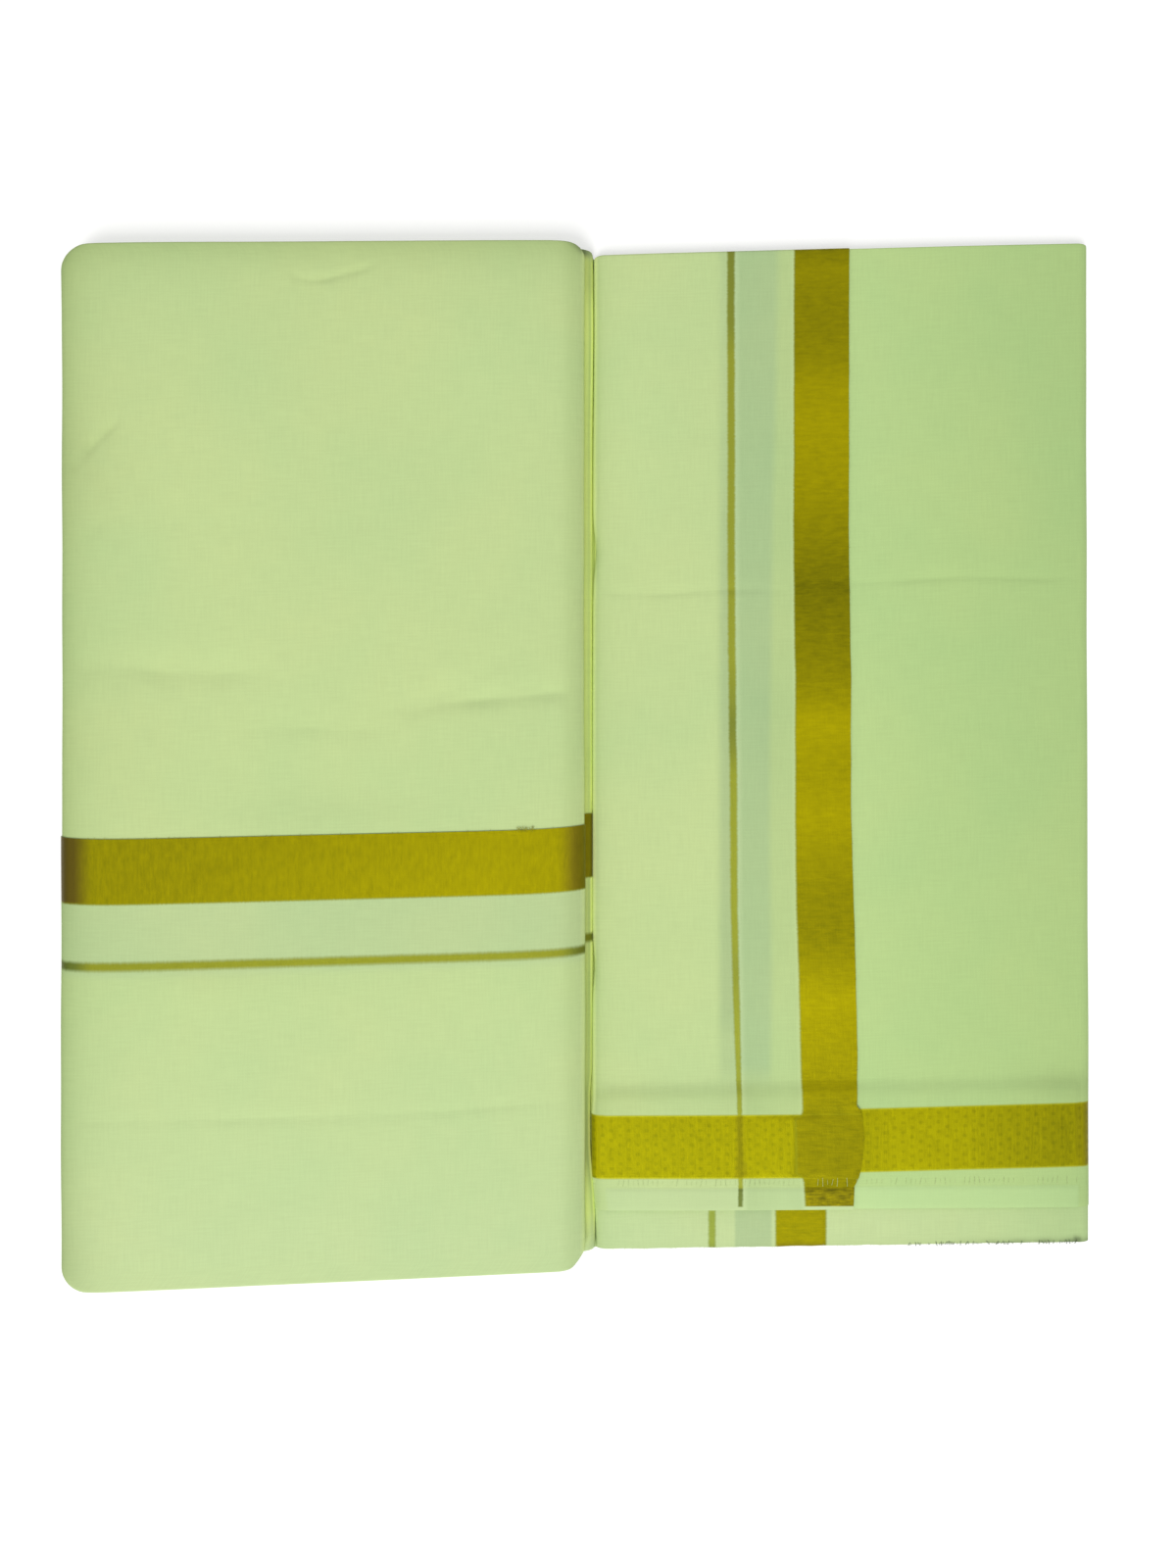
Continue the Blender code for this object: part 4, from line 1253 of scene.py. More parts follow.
def left_sheet(y, deep, top, base, tuck, lobe_rise):
    """Points and attributes of one sheet of the thick leaf.

    lobe_rise is how far the border climbs on its way under the leaf to the lower fold.
    """
    x, z, kind = left_section(y, deep, top, base, tuck)
    rows = y[:, None] + 0.0 * x
    share = grade(rows, LEFT_FOOT_Y, LEVEL_SELVEDGE_Y) ** 0.35
    under = grade(x, LEFT_X, LOWER_FOLD_X) * (kind >= UNDERSIDE)
    real_y = lean(rows, x, LEFT_LEAN) + settled(rows) + lobe_rise * share * under
    if lobe_rise:
        real_y = real_y + border_bend(x, rows)
    z = z + (kind == ON_TOP) * top_height(x, real_y, *LEFT_TOP_SPAN, LEFT_CREASES, LEFT_SEED)
    z = z + (kind == UNDERSIDE) * np.abs(crease_height(x, real_y, UNDER_CREASES))
    # painted shade: gold turns brown towards both folds, and a little less so on the edge of the
    # upper one
    near_left = grade(x, LEFT_X + 22 * MM, LEFT_X + 11 * MM)
    near_right = (0.68 * grade(x, UPPER_FOLD_X - 16 * MM, UPPER_FOLD_X - 7 * MM)
                  - 0.30 * grade(x, UPPER_FOLD_X - 4.5 * MM, UPPER_FOLD_X))
    thread = (LEVEL_SELVEDGE_Y - rows, developed(x, z), 1.0)
    place = (np.maximum(near_left, near_right), 0.0, 0.0)
    shine = np.interp(x, LEVEL_SHINE_X, LEVEL_SHINE)
    return x, real_y, z, thread, place, left_tone(x, real_y, rows, kind), shine


# %% [markdown]
# ### Front flap
#
# The flap is the last turn of the cloth. It comes up from the bottom fold and ends in the
# woven edge, so the level border runs along its top. Its foot turns under in a small
# round fold, as every folded edge of cloth does.

# %% Front flap
LOBE_RISE = 6.4 * MM
ROW = 2.8 * MM
FINE_ROW = 1.25 * MM
LAST_ROWS = (0.4 * MM, 0.0)   # distances of the flap's last rows from its woven edge
# stretches with creases, in millimetres
LEFT_FINE = ((-324, -306), (-222, -206), (8, 60), (166, 206), (286, 316))
RIGHT_FINE = ((-214, -190), (98, 116))


def row_heights(first, last, fine=(), step=ROW):
    """Heights with both ends, closer together in the fine stretches."""
    marks = [first, last]
    for low, high in fine:
        marks += [low * MM, high * MM]
    marks = sorted(mark for mark in set(marks) if first <= mark <= last)
    heights = [first]
    for low, high in zip(marks, marks[1:]):
        middle = (low + high) / 2
        close = any(start * MM < middle < end * MM for start, end in fine)
        count = max(1, round((high - low) / (FINE_ROW if close else step)))
        heights += list(np.linspace(low, high, count + 1)[1:])
    return np.array(heights)


roll_y, roll_deep = fold_rows(LEFT_FOOT_Y, +1)
plain = row_heights(LEFT_FOOT_Y + END_RADIUS, LEVEL_SELVEDGE_Y - 1.0 * MM, LEFT_FINE)
plain = np.append(plain, LEVEL_SELVEDGE_Y - np.array(LAST_ROWS))
flap_y = np.concatenate([roll_y[::-1], plain])
flap_deep = np.concatenate([roll_deep[::-1], 0.0 * plain])
zeros = 0.0 * flap_y
points = left_sheet(flap_y, flap_deep, zeros, zeros, zeros, LOBE_RISE)
front_flap = sheet_object("front_flap_sheet", *points, LEVEL_COTTON)

# tufts along the woven edge, and one larger tuft near its right end
TUFT_X = (-36.0 * MM, -26.5 * MM)


def on_selvedge(x_from, x_to, out):
    """Points along the flap's woven edge, a little beyond it."""
    x = np.linspace(x_from, x_to, 60)
    y = lean(LEVEL_SELVEDGE_Y, x, LEFT_LEAN) + border_bend(x, LEVEL_SELVEDGE_Y) + out
    return x, y, LEFT_TALL + top_height(x, y, *LEFT_TOP_SPAN, LEFT_CREASES, LEFT_SEED)


edge_line = on_selvedge(*LEFT_TOP_SPAN, 0.0)
tufts = thread_row("level_edge_tufts", *edge_line, GOLD_TREE, LEVEL_TUFTS)
pulled = thread_row("pulled_gold_threads", *on_selvedge(*TUFT_X, 0.3 * MM), GOLD_TREE,
                    PULLED_TUFT)
declare(front_flap, "front_flap")

# %% [markdown]
# ### Middle layer
#
# Above the flap the layer under it shows, up to the top fold. It sinks one layer where
# the flap covers it, which leaves the small step along the border's edge.

# %% Middle layer
COVERED = 22 * MM
PLAIN_START = 1.0             # so that its weave isn't the flap's over again
roll_y, roll_deep = fold_rows(LEFT_HEAD_Y, -1)
plain = row_heights(LEVEL_SELVEDGE_Y - COVERED, LEFT_HEAD_Y - END_RADIUS, LEFT_FINE)
middle_y = np.concatenate([plain, roll_y])
middle_deep = np.concatenate([0.0 * plain, roll_deep])
sinks = [column(MIDDLE_SINK, part, middle_y) for part in ("top", "base", "tuck")]
points = left_sheet(middle_y, middle_deep, *sinks, 0.0)
across, along, beside = points[3]
points = (*points[:3], (across + PLAIN_START, along, beside), *points[4:])
middle_sheet = sheet_object("middle_sheet", *points, PLAIN_COTTON)
declare(middle_sheet, "middle_layer")

# %% [markdown]
# ### Folded edges of the hidden layers
#
# At the head and the foot of the leaf the hidden layers show as a stack of round folded
# edges. They are one closed form: level rings, each a little further in or out so that
# every fold bulges, with its own uneven line along the leaf. A loop lofts them.

# %% Ends of the hidden layers
Ends = namedtuple("Ends", "foot head")
LEFT_ENDS = (
    Ends(1.2 * MM, 1.8 * MM),
    Ends(2.4 * MM, 1.0 * MM),
    Ends(0.8 * MM, 2.0 * MM),
    Ends(2.0 * MM, 0.8 * MM),
    Ends(1.0 * MM, 2.4 * MM),
    Ends(1.8 * MM, 1.2 * MM),
)
GROOVE = 1.6 * MM
CORE_SLACK = 2.3 * MM
EDGE_POINTS = 110
CORNER_POINTS = 7
SIDE_POINTS = 12
LOBE_RINGS = 12
# painted shade: the stacked folded edges are a little darker and yellower, and gold on them is
# browned as beside a fold
STACK_TONE = (0.95, 0.96, 0.90)
STACK_PLACE = (0.35, 0.0, 0.0)
STACK_SHINE = 0.7
print(len(LEFT_ENDS), "pairs of layers in the thick leaf's stack")


# %% Outline of a level ring
def bow(z, centre_z, half_tall, reach):
    """How far a round fold stands out at a height z."""
    share = (z - centre_z) / half_tall
    return reach * math.sqrt(max(0.0, 1 - share * share))


def ring_outline(x_left, x_right, foot_y, head_y, left_corner, right_corner, foot_corner):
    """Level outline with round corners, anticlockwise from the foot's left end, as x and y.

    foot_corner is the radius of the corner at the foot's right end.
    """
    corners = (
        (x_right - foot_corner, foot_y + foot_corner, foot_corner, -90),
        (x_right - right_corner, head_y - right_corner, right_corner, 0),
        (x_left + left_corner, head_y - left_corner, left_corner, 90),
        (x_left + left_corner, foot_y + left_corner, left_corner, 180),
    )
    xs = [np.linspace(x_left + left_corner, x_right - foot_corner, EDGE_POINTS)]
    ys = [np.full(EDGE_POINTS, foot_y)]
    for index, (x, y, radius, start) in enumerate(corners):
        angle = np.radians(np.linspace(start, start + 90, CORNER_POINTS)[1:-1])
        xs.append(x + radius * np.cos(angle))
        ys.append(y + radius * np.sin(angle))
        if index == 1:
            xs.append(np.linspace(x_right - right_corner, x_left + left_corner, EDGE_POINTS))
            ys.append(np.full(EDGE_POINTS, head_y))
        elif index in (0, 2):
            low, high = sorted((foot_y + radius, head_y - radius))
            near_ends = (low + 4 * MM, low + 8 * MM, high - 2 * MM, high - 5 * MM)
            run = np.sort(np.append(np.linspace(low, high, SIDE_POINTS), near_ends))
            xs.append(np.full(len(run), x + radius * (1 if index == 0 else -1)))
            ys.append(run if index == 0 else run[::-1])
    return np.concatenate(xs), np.concatenate(ys)


# %% Uneven ends and round layers
def with_uneven_ends(y, foot_y, head_y, uneven, within):
    """y with the foot and the head drawn in, by an amount that differs from place to place."""
    at_foot = grade(y, foot_y + within, foot_y)
    at_head = grade(y, head_y - within, head_y)
    return y + np.abs(uneven) * (at_foot - at_head)


def bulges(low, tall, count, steps):
    """Each level ring's layer, height and angle, so that every layer is round at its edge."""
    for layer in range(count):
        for step in range(steps):
            angle = math.pi * (step + 0.5) / steps
            yield layer, low + tall * (layer + 0.5 - 0.5 * math.cos(angle)), angle


# %% A closed form from level rings
def stack_object(name, rings, material, wrap_across):
    """A closed form lofted up through level rings of (x, y, z) arrays.

    wrap_across gives the distance from the woven edge for a point's x and y.
    """
    x, y, z = (np.stack([ring[part] for ring in rings]) for part in range(3))
    count = x.shape[1]
    corner = np.arange(x.size).reshape(x.shape)
    after = np.roll(corner, -1, axis=1)
    quads = np.stack([corner[:-1], after[:-1], after[1:], corner[1:]], axis=-1).reshape(-1, 4)
    faces = quads.tolist() + [corner[0][::-1].tolist(), corner[-1].tolist()]
    mesh = bpy.data.meshes.new(name)
    mesh.from_pydata(np.stack([x, y, z], axis=-1).reshape(-1, 3).tolist(), [], faces)
    carry(mesh, x.shape, (wrap_across(x, y), x + 2 * z, 1.0), STACK_PLACE, STACK_TONE,
          STACK_SHINE)
    mesh.materials.append(material)
    mesh.shade_smooth()
    mesh.set_sharp_from_angle(angle=math.radians(CRISP_STACK))
    piece = bpy.data.objects.new(name, mesh)
    bpy.context.scene.collection.objects.link(piece)
    print(f"{name}: {len(rings)} rings of {count} points")
    return piece


# %% One ring of the thick leaf's stack
def left_ring(z, index, cut):
    """One level ring: outline, uneven folded ends and the swell of the top."""
    inside = 2 * PITCH
    reach = LEFT_REACH - inside
    fold_half = (LEFT_TALL / 2 - HALF_GAP) / 2 - inside
    upper_z = LEFT_TALL - inside - fold_half
    lower_z = inside + fold_half
    upper = z > LEFT_TALL / 2
    fold_x, fold_z = (UPPER_FOLD_X, upper_z) if upper else (LOWER_FOLD_X, lower_z)
    x_right = fold_x - LEFT_REACH + bow(z, fold_z, fold_half, reach)
    x_left = LEFT_X + LEFT_REACH - bow(z, LEFT_TALL / 2, LEFT_TALL / 2 - inside, reach)
    ends = LEFT_ENDS[index]
    foot_y = LEFT_FOOT_Y + ends.foot + cut
    head_y = LEFT_HEAD_Y - ends.head - cut
    x, y = ring_outline(x_left, x_right, foot_y, head_y,
                        LEFT_CORNER - CORE_SLACK, RIGHT_CORNER - CORE_SLACK, FOOT_CORNER)
    if not upper:
        near_right = grade(x, x_right - 20 * MM, x_right)
        x = x - (LOWER_FOLD_X - UPPER_FOLD_X) * lower_fold_hidden(y) * near_right
    uneven = soft_waves(x, 0.0, 60 + index, 0.20, 0.03, 0.35 * MM, 9)
    y = with_uneven_ends(y, foot_y, head_y, np.clip(uneven, -0.7 * MM, 0.7 * MM), 9 * MM)
    share = (z - inside) / (LEFT_TALL - 2 * inside)
    across = from_middle(x, x_left, x_right)
    lifted = z + share * PUFF * 0.8 * (1 - across ** 4)
    return x, lean(y, x, LEFT_LEAN) + settled(y), lifted


# %% Rings of the thick leaf's stack
low = 2 * PITCH
lobe_tall = (LEFT_TALL - 2 * low) / len(LEFT_ENDS)
rings = [left_ring(z, lobe, GROOVE * (1 - math.sin(angle) ** 0.7))
         for lobe, z, angle in bulges(low, lobe_tall, len(LEFT_ENDS), LOBE_RINGS)]
folded_edges = stack_object("left_folded_edges", rings, PLAIN_COTTON, lambda x, y: 0.5 + y)
declare(folded_edges, "left_hidden_layers")

# %% [markdown]
# ## The thin leaf
#
# The thin leaf shows three stretches. The upright flap ends in the woven edge, so its
# border stands upright. The back panel runs in below it. Both end in a narrow turned hem
# near the foot, and below the hem a third, lower layer shows as a strip.

# %% Sizes of the thin leaf's hem, ramp and crossing
RIGHT_TOP_SPAN = (SEAM_X + RIGHT_REACH, RIGHT_X - RIGHT_REACH)
RIGHT_SEED = 31
HALF_STEPS = 22               # along the underside, to its middle
FLAP_STEPS = 73
PANEL_STEPS = 62
COVERED_STEPS = 13
HEM_TOP_Y = HEM_Y + HEM_DEEP
HEM_SOFT = 3.0 * MM
HEM_RADIUS = 0.5 * MM
HEM_RETURN = 3 * MM           # how far the turned edge runs back under the hem
HEM_STEPS = 7
HEAD_STEPS = 6
STITCH_ABOVE = 3.0 * MM
HEM_LIP = 2.4 * MM            # plain cotton of the folded edge, beyond the gold
RAMP_Y = -204.5 * MM          # where the leaf climbs onto its turned end
RAMP_TILT = 0.0165
RAMP_LONG = 10.0 * MM
RAMP_TALL = 1.0 * MM
RAMP_SINKS = 72 * MM          # run over which the climb would sink back to nothing
BARREL_FROM = -262.0 * MM     # where the border bulges as it crosses the end band
BARREL_TO = -214.0 * MM
BARREL_EDGE = 4.9 * MM
BARREL_LEFT = 4.9 * MM        # how far the crossing's gold reaches back, inside the band
print(f"the crossing is {(BARREL_TO - BARREL_FROM) / MM:.0f} mm tall")


# %% Top of the thin leaf
def barrel(y):
    """0 to 1 across the crossing, steep at its two ends."""
    return np.sqrt(1 - from_middle(y, BARREL_FROM, BARREL_TO) ** 2)


def from_ramp(x, y):
    """Distance towards the foot from the line where the turned end of the cloth begins."""
    return RAMP_Y + RAMP_TILT * (x - SEAM_X) - y


def right_height(x, y, row_y):
    """Soft top of the thin leaf: it climbs onto its turned end and has a stitched hem."""
    soft = top_height(x, y, *RIGHT_TOP_SPAN, RIGHT_CREASES, RIGHT_SEED)
    soft = soft + HEM_PROUD * eased(grade(row_y, HEM_TOP_Y, HEM_TOP_Y - HEM_SOFT))
    past = from_ramp(x, y)
    climb = eased(grade(past, -0.6 * RAMP_LONG, 0.4 * RAMP_LONG))
    sink = np.clip(1 - past / RAMP_SINKS, 0.2, 1.0)
    return soft + RAMP_TALL * climb * sink


# %% Painted shade where the leaf climbs, and painted light beside the slot
def ramp_shade(x, y):
    """Painted shade along the ramp, strongest at the seam."""
    past = from_ramp(x, y)
    share = grade(x, RIGHT_X, SEAM_X)
    line = (0.045 + 0.055 * share) * bell(past, 0.5 * MM, 4.5 * MM)
    after = (0.02 + 0.05 * share) * grade(past, 0.0, 4 * MM)
    return line + after * grade(past, 18 * MM, 13 * MM)


def beside_slot(past_seam, y):
    """Share of painted light on the fold beside the slot: 1 there, less at the foot, where the
    slot is shallow.
    """
    near = grade(past_seam, 2.6 * MM, 1.0 * MM)
    return near * np.maximum(grade(y, -285 * MM, -245 * MM), 0.15)


def near_fold(distance):
    """How much painted shade browns the gold at a distance from a fold, before its share is
    taken.
    """
    return grade(distance, 9 * MM, 0.0) ** 1.3


# %% Rows of the thin leaf
def right_spread(y):
    """How far the thin leaf's right fold has spread past the frame's, most at the foot."""
    return np.interp(y, [HEM_Y + 45 * MM, -50 * MM, 200 * MM], [2.1 * MM, 1.4 * MM, 0.6 * MM])


def right_rows(radius, inset):
    """Heights and depths of a stretch's rows, from its hem to where it turns down at the head."""
    foot_y, head_y = HEM_Y - HEM_LIP, RIGHT_HEAD_Y - inset
    hem_run, hem_deep = rolled(HEM_RADIUS, math.pi, HEM_STEPS)
    head_run, head_deep = rolled(radius, math.pi / 2, HEAD_STEPS)
    plain = row_heights(foot_y + HEM_RADIUS, head_y - radius, RIGHT_FINE)
    plain = np.sort(np.append(plain, HEM_TOP_Y - HEM_SOFT * np.array([0.0, 0.5, 1.0])))
    y = np.concatenate([[HEM_Y + HEM_RETURN], foot_y + hem_run[::-1], plain, head_y - head_run])
    return y, np.concatenate([[2 * HEM_RADIUS], hem_deep[::-1], 0.0 * plain, head_deep])


def hem_share(y):
    """1 in the turned hem, 0 above it."""
    return grade(y, HEM_TOP_Y, HEM_TOP_Y - 0.8 * MM)


def stitch_row(heights):
    """Index of the row that the hem's stitches lie on, just above the turned hem."""
    return int(np.argmin(np.abs(heights - HEM_TOP_Y - STITCH_ABOVE)))


# %% [markdown]
# ### Upright flap
#
# The border keeps its place in the weave, so it is worked out from the woven edge. The
# edge wanders a little. Where the border crosses the end band, both sets of threads are
# stiff gold, and the woven edge swells out like a small barrel.

# %% Painted shine of its gold, up the border and along the end band
Shine = namedtuple("Shine", "y bright")
UPRIGHT_SHINE = (
    Shine(HEM_Y, 0.40),
    Shine(-262 * MM, 0.33),
    Shine(-215 * MM, 0.35),
    Shine(-206 * MM, 0.44),
    Shine(-180 * MM, 0.51),
    Shine(-150 * MM, 0.62),
    Shine(-118 * MM, 0.42),
    Shine(-108 * MM, 0.37),
    Shine(-88 * MM, 0.39),
    Shine(-60 * MM, 0.51),
    Shine(-36 * MM, 0.65),
    Shine(-6 * MM, 0.58),
    Shine(18 * MM, 0.70),
    Shine(28 * MM, 0.67),
    Shine(38 * MM, 0.52),
    Shine(60 * MM, 0.41),
    Shine(90 * MM, 0.33),
    Shine(105 * MM, 0.27),
    Shine(125 * MM, 0.38),
    Shine(150 * MM, 0.51),
    Shine(172 * MM, 0.62),
    Shine(205 * MM, 0.70),
    Shine(230 * MM, 0.65),
    Shine(245 * MM, 0.52),
    Shine(262 * MM, 0.45),
    Shine(290 * MM, 0.47),
    Shine(300 * MM, 0.55),
    Shine(RIGHT_HEAD_Y, 0.36),
)
BAND_SHINE_X = np.array([70, 120, 180, 200, 240, 265, 290, 305, 316]) * MM
BAND_SHINE = (0.43, 0.49, 0.47, 0.56, 0.56, 0.48, 0.44, 0.39, 0.64)

# painted shade on the fine line, at these heights
LINE_SHADE_Y = np.array([-226, -205, -176, -145, -128, -112, -66, -10, 7, 22, 36, 60, 250, 268,
                         310]) * MM
LINE_SHADE = (0.25, 0.36, 0.17, 0.26, 0.38, 0.16, 0.10, 0.08, 0.45, 0.62, 0.36, 0.05, 0.0,
              0.36, 0.48)
print(len(UPRIGHT_SHINE), "rows in the table of shine")

# %% Section of the upright flap
Pucker = namedtuple("Pucker", "y tall deep")
PUCKERS = (                   # where its left fold draws back from the slot
    Pucker(131 * MM, 14 * MM, 1.7 * MM),
    Pucker(-126 * MM, 15 * MM, 1.4 * MM),
)

flap_y, flap_deep = right_rows(1.8 * MM, 1.2 * MM)
rows = flap_y[:, None]
deep = flap_deep[:, None]
bulge = barrel(rows)
x_edge = column(UPRIGHT_BORDER, "edge", rows) + BARREL_EDGE * bulge
x_edge = x_edge + soft_waves(rows, 0.0, 41, 0.06, 0.012, 0.12 * MM, 8)
pull = corner_inset(RIGHT_HEAD_Y - rows - deep / 2, 1.2 * MM)
pucker = sum(place.deep * bell(rows, place.y, place.tall) for place in PUCKERS)
seam = SEAM_X + sway(rows, SEAM_SWAY)
x_spine = seam + RIGHT_REACH + pull + pucker + side_wander(rows, 42) * 0.5
top_x, _ = flat_run(x_edge, x_spine, 0.0, FLAP_STEPS, "first")
round_x, round_z = arc(x_spine, RIGHT_TALL / 2, RIGHT_REACH - deep, RIGHT_TALL / 2 - deep,
                       90, 270, BROAD_STEPS)
under_x, under_z = flat_run(x_spine, SPLIT_X - HALF_GAP + 0.0 * rows, deep, HALF_STEPS, "last")
x = np.concatenate([top_x, round_x, under_x], axis=1)
y_rows = rows + 0.0 * x
y = lean(y_rows, x, RIGHT_LEAN)
top_z = RIGHT_TALL - deep + right_height(top_x, y[:, :top_x.shape[1]], rows + 0.0 * top_x)
under_z = under_z + np.abs(crease_height(under_x, y[:, -under_x.shape[1]:], UNDER_CREASES))
z = np.concatenate([top_z, round_z, under_z], axis=1)
on_top = np.arange(x.shape[1])[None, :] < top_x.shape[1]
print(f"upright flap: {len(flap_y)} rows of {x.shape[1]} points")

# %% Place of the upright flap's points in the weave
LINE_HALF_Y = (-212 * MM, -150 * MM, -40 * MM)
LINE_HALF = (1.2 * MM, 2.0 * MM, 2.25 * MM)    # half the fine line's width, at these heights
FAR_ALONG = 0.6               # past the border, the weave keeps its own scale
FINE_LINE = UPRIGHT_STRIPES[1]
LINE_PLACES = (0.0, WHOLE_GOLD, FINE_LINE.middle - FINE_LINE.wide / 2,
               FINE_LINE.middle + FINE_LINE.wide / 2, FINE_LINE.middle + FAR_ALONG)

length = developed(x, z)
across = np.zeros_like(length)
for index, height in enumerate(flap_y):
    swell = barrel(height)
    in_band = END_BAND.wide / 2 - abs(height - HEM_Y - END_BAND.middle)
    inside = grade(in_band, 0.0, 2 * MM)
    gold = column(UPRIGHT_BORDER, "gold", height) + BARREL_EDGE * swell + BARREL_LEFT * inside
    line = column(UPRIGHT_BORDER, "line", height) + BARREL_EDGE * swell
    half = np.interp(height, LINE_HALF_Y, LINE_HALF)
    lengths = (0.0, gold, line - half, line + half, line + FAR_ALONG)
    across[index] = np.interp(length[index], lengths, LINE_PLACES)
print(f"the flap is {length.max() / MM:.0f} mm wide, laid out flat")

# %% Stripe of the layer below the upright flap
SHEER_MIDDLE_X = 104.6 * MM
SHEER_Y = np.array([-190, -135, -60, 10, 84, 157, 230, 302]) * MM
SHEER_RIGHT_X = np.array([120.1, 120.9, 119.7, 119.7, 120.8, 121.5, 123.5, 124.6]) * MM
SHEER_LEFT_Y = np.array([-172, -158, 105, 170, 230]) * MM
SHEER_LEFT = (0.6, 1.0, 1.0, 0.7, 0.5)    # how strongly its left part shows, at these heights

right_half = np.interp(y_rows, SHEER_Y, SHEER_RIGHT_X) - SHEER_MIDDLE_X
stretch = np.where(x > SHEER_MIDDLE_X, SHEER_STRIPE.wide / 2 / right_half, 1.0)
beside = (SHEER_MIDDLE_X - x) * stretch
line_x = column(UPRIGHT_BORDER, "edge", y_rows) - column(UPRIGHT_BORDER, "line", y_rows)
left_share = np.interp(y_rows, SHEER_LEFT_Y, SHEER_LEFT)
sheer = grade(y_rows, -203 * MM, -189 * MM) * np.where(x < line_x, left_share, 1.0)
beyond = sheer * grade(x, 85.5 * MM, 91.5 * MM) * (x < line_x) * on_top
print(f"the stripe below can show on {np.mean(sheer > 0.5):.0%} of the flap")

# %% Tone and shine of the upright flap, with painted shade, light and shine
BAND_FROM_LENGTH = 42.5 * MM  # past the border's gold, the shine is the end band's
BEYOND_DROPS = (0.10, 0.11, 0.16)
FLAP_SLOT_SHADE = 0.07
FLAP_FOLD_SHADE = 0.12

shine = np.interp(y_rows, *zip(*((row.y, row.bright) for row in UPRIGHT_SHINE)))
shine = np.where(length > BAND_FROM_LENGTH, np.interp(x, BAND_SHINE_X, BAND_SHINE), shine)
# painted highlight on the gold where it rounds the fold beside the slot
shine = shine + 1.1 * grade(x - seam, 4.5 * MM, 0.0)
# painted shade beside the slot and along the ramp, then painted light on the fold beside the slot
tone = darker(FLAP_SLOT_SHADE * fading(x - seam - 3 * MM, 6 * MM),
              0.02 * fading(x - seam, 40 * MM), ramp_shade(x, y))
tone = blend(with_painted_light_and_shade(x, y, tone), beside_slot(x - seam, y_rows), SLOT_RIGHT_PAINTED_LIGHT)
brighter = 1 + 0.05 * grade(y_rows, -120 * MM, -160 * MM) * fading(np.abs(x - 128 * MM), 12 * MM)
tone = tuple(part * brighter * (1 - drop * beyond) for part, drop in zip(tone, BEYOND_DROPS))
# painted shade on the fine line, and painted shade browning the gold beside the slot
near_line = np.abs(across - FINE_LINE.middle) < 4 * MM
line_shade = np.interp(y_rows, LINE_SHADE_Y, LINE_SHADE) * near_line
thread = (across, y_rows - HEM_Y, beside)
place = (np.maximum(FLAP_FOLD_SHADE * near_fold(x - seam), line_shade),
         hem_share(y_rows) * on_top, sheer * on_top)
upright_flap = sheet_object("upright_flap_sheet", x, y, z, thread, place, tone, shine,
                            UPRIGHT_COTTON)
print(f"shine from {shine.min():.2f} to {shine.max():.2f}")

# %% Tufts along the upright edge, and slanted stitches that hold the hem
inner = (flap_y > HEM_Y + 16 * MM) & (flap_deep == 0.0)
tufts = thread_row("upright_edge_tufts", x[inner, 0], y[inner, 0], z[inner, 0], GOLD_TREE,
                   UPRIGHT_TUFTS)
row = stitch_row(flap_y)
seen = slice(0, top_x.shape[1] - 2)
stitches = thread_row("flap_hem_stitches", x[row, seen], y[row, seen], z[row, seen],
                      COTTON_TREE, HEM_STITCHES)
declare(upright_flap, "upright_flap")

# %% [markdown]
# ### Back panel
#
# The panel shows on the right of the flap's woven edge and runs in below the flap. Its
# end band sits a few millimetres further from the hem than the flap's and rises to the
# right, because the two layers were not laid quite square.

# %% Back panel
BAND_STEP = 3.1 * MM
BAND_TILT = 0.019
BAND_FROM_X = 180.0 * MM
# painted shade: from PANEL_NEAR the panel turns darker and greener towards its right end
PANEL_NEAR = (0.885, 0.965, 0.88)    # tone beside the flap's woven edge and at the right fold
PANEL_FAR = (0.77, 0.86, 0.75)
HEM_LIGHTER = 0.07
PANEL_LAP = 8 * MM            # how far its close points reach, past the flap's woven edge

panel_y, panel_deep = right_rows(1.1 * MM, 1.4 * MM)
rows = panel_y[:, None]
deep = panel_deep[:, None]
edge = column(UPRIGHT_BORDER, "edge", rows)
pull = corner_inset(RIGHT_HEAD_Y - rows - deep / 2, SOFT_CORNER)
x_spine = RIGHT_X - RIGHT_REACH - pull + right_spread(rows) + side_wander(rows, 43) * 0.5
under_x, under_z = flat_run(SPLIT_X + HALF_GAP + 0.0 * rows, x_spine, deep, HALF_STEPS, "first")
round_x, round_z = arc(x_spine, PANEL_TOP / 2, RIGHT_REACH - deep, PANEL_TOP / 2 - deep,
                       -90, 90, BROAD_STEPS)
lap_x = edge + PANEL_LAP
shown_x, _ = flat_run(x_spine, lap_x, 0.0, PANEL_STEPS, "last")
covered_x, _ = flat_run(lap_x, SEAM_X + 2 * RIGHT_REACH, 0.0, COVERED_STEPS, "last")
top_x = np.concatenate([shown_x, covered_x], axis=1)
x = np.concatenate([under_x, round_x, top_x], axis=1)
y_rows = rows + 0.0 * x
y = lean(y_rows, x, RIGHT_LEAN)
shown = top_x > edge - 3 * MM
seen_rows = np.where(shown, rows, np.maximum(rows, HEM_TOP_Y))
top_z = PANEL_TOP - deep + right_height(top_x, y[:, -top_x.shape[1]:], seen_rows)
under_z = under_z + np.abs(crease_height(under_x, y[:, :under_x.shape[1]], UNDER_CREASES))
z = np.concatenate([under_z, round_z, top_z], axis=1)
on_top = np.arange(x.shape[1])[None, :] >= x.shape[1] - top_x.shape[1]
print(f"back panel: {len(panel_y)} rows of {x.shape[1]} points")

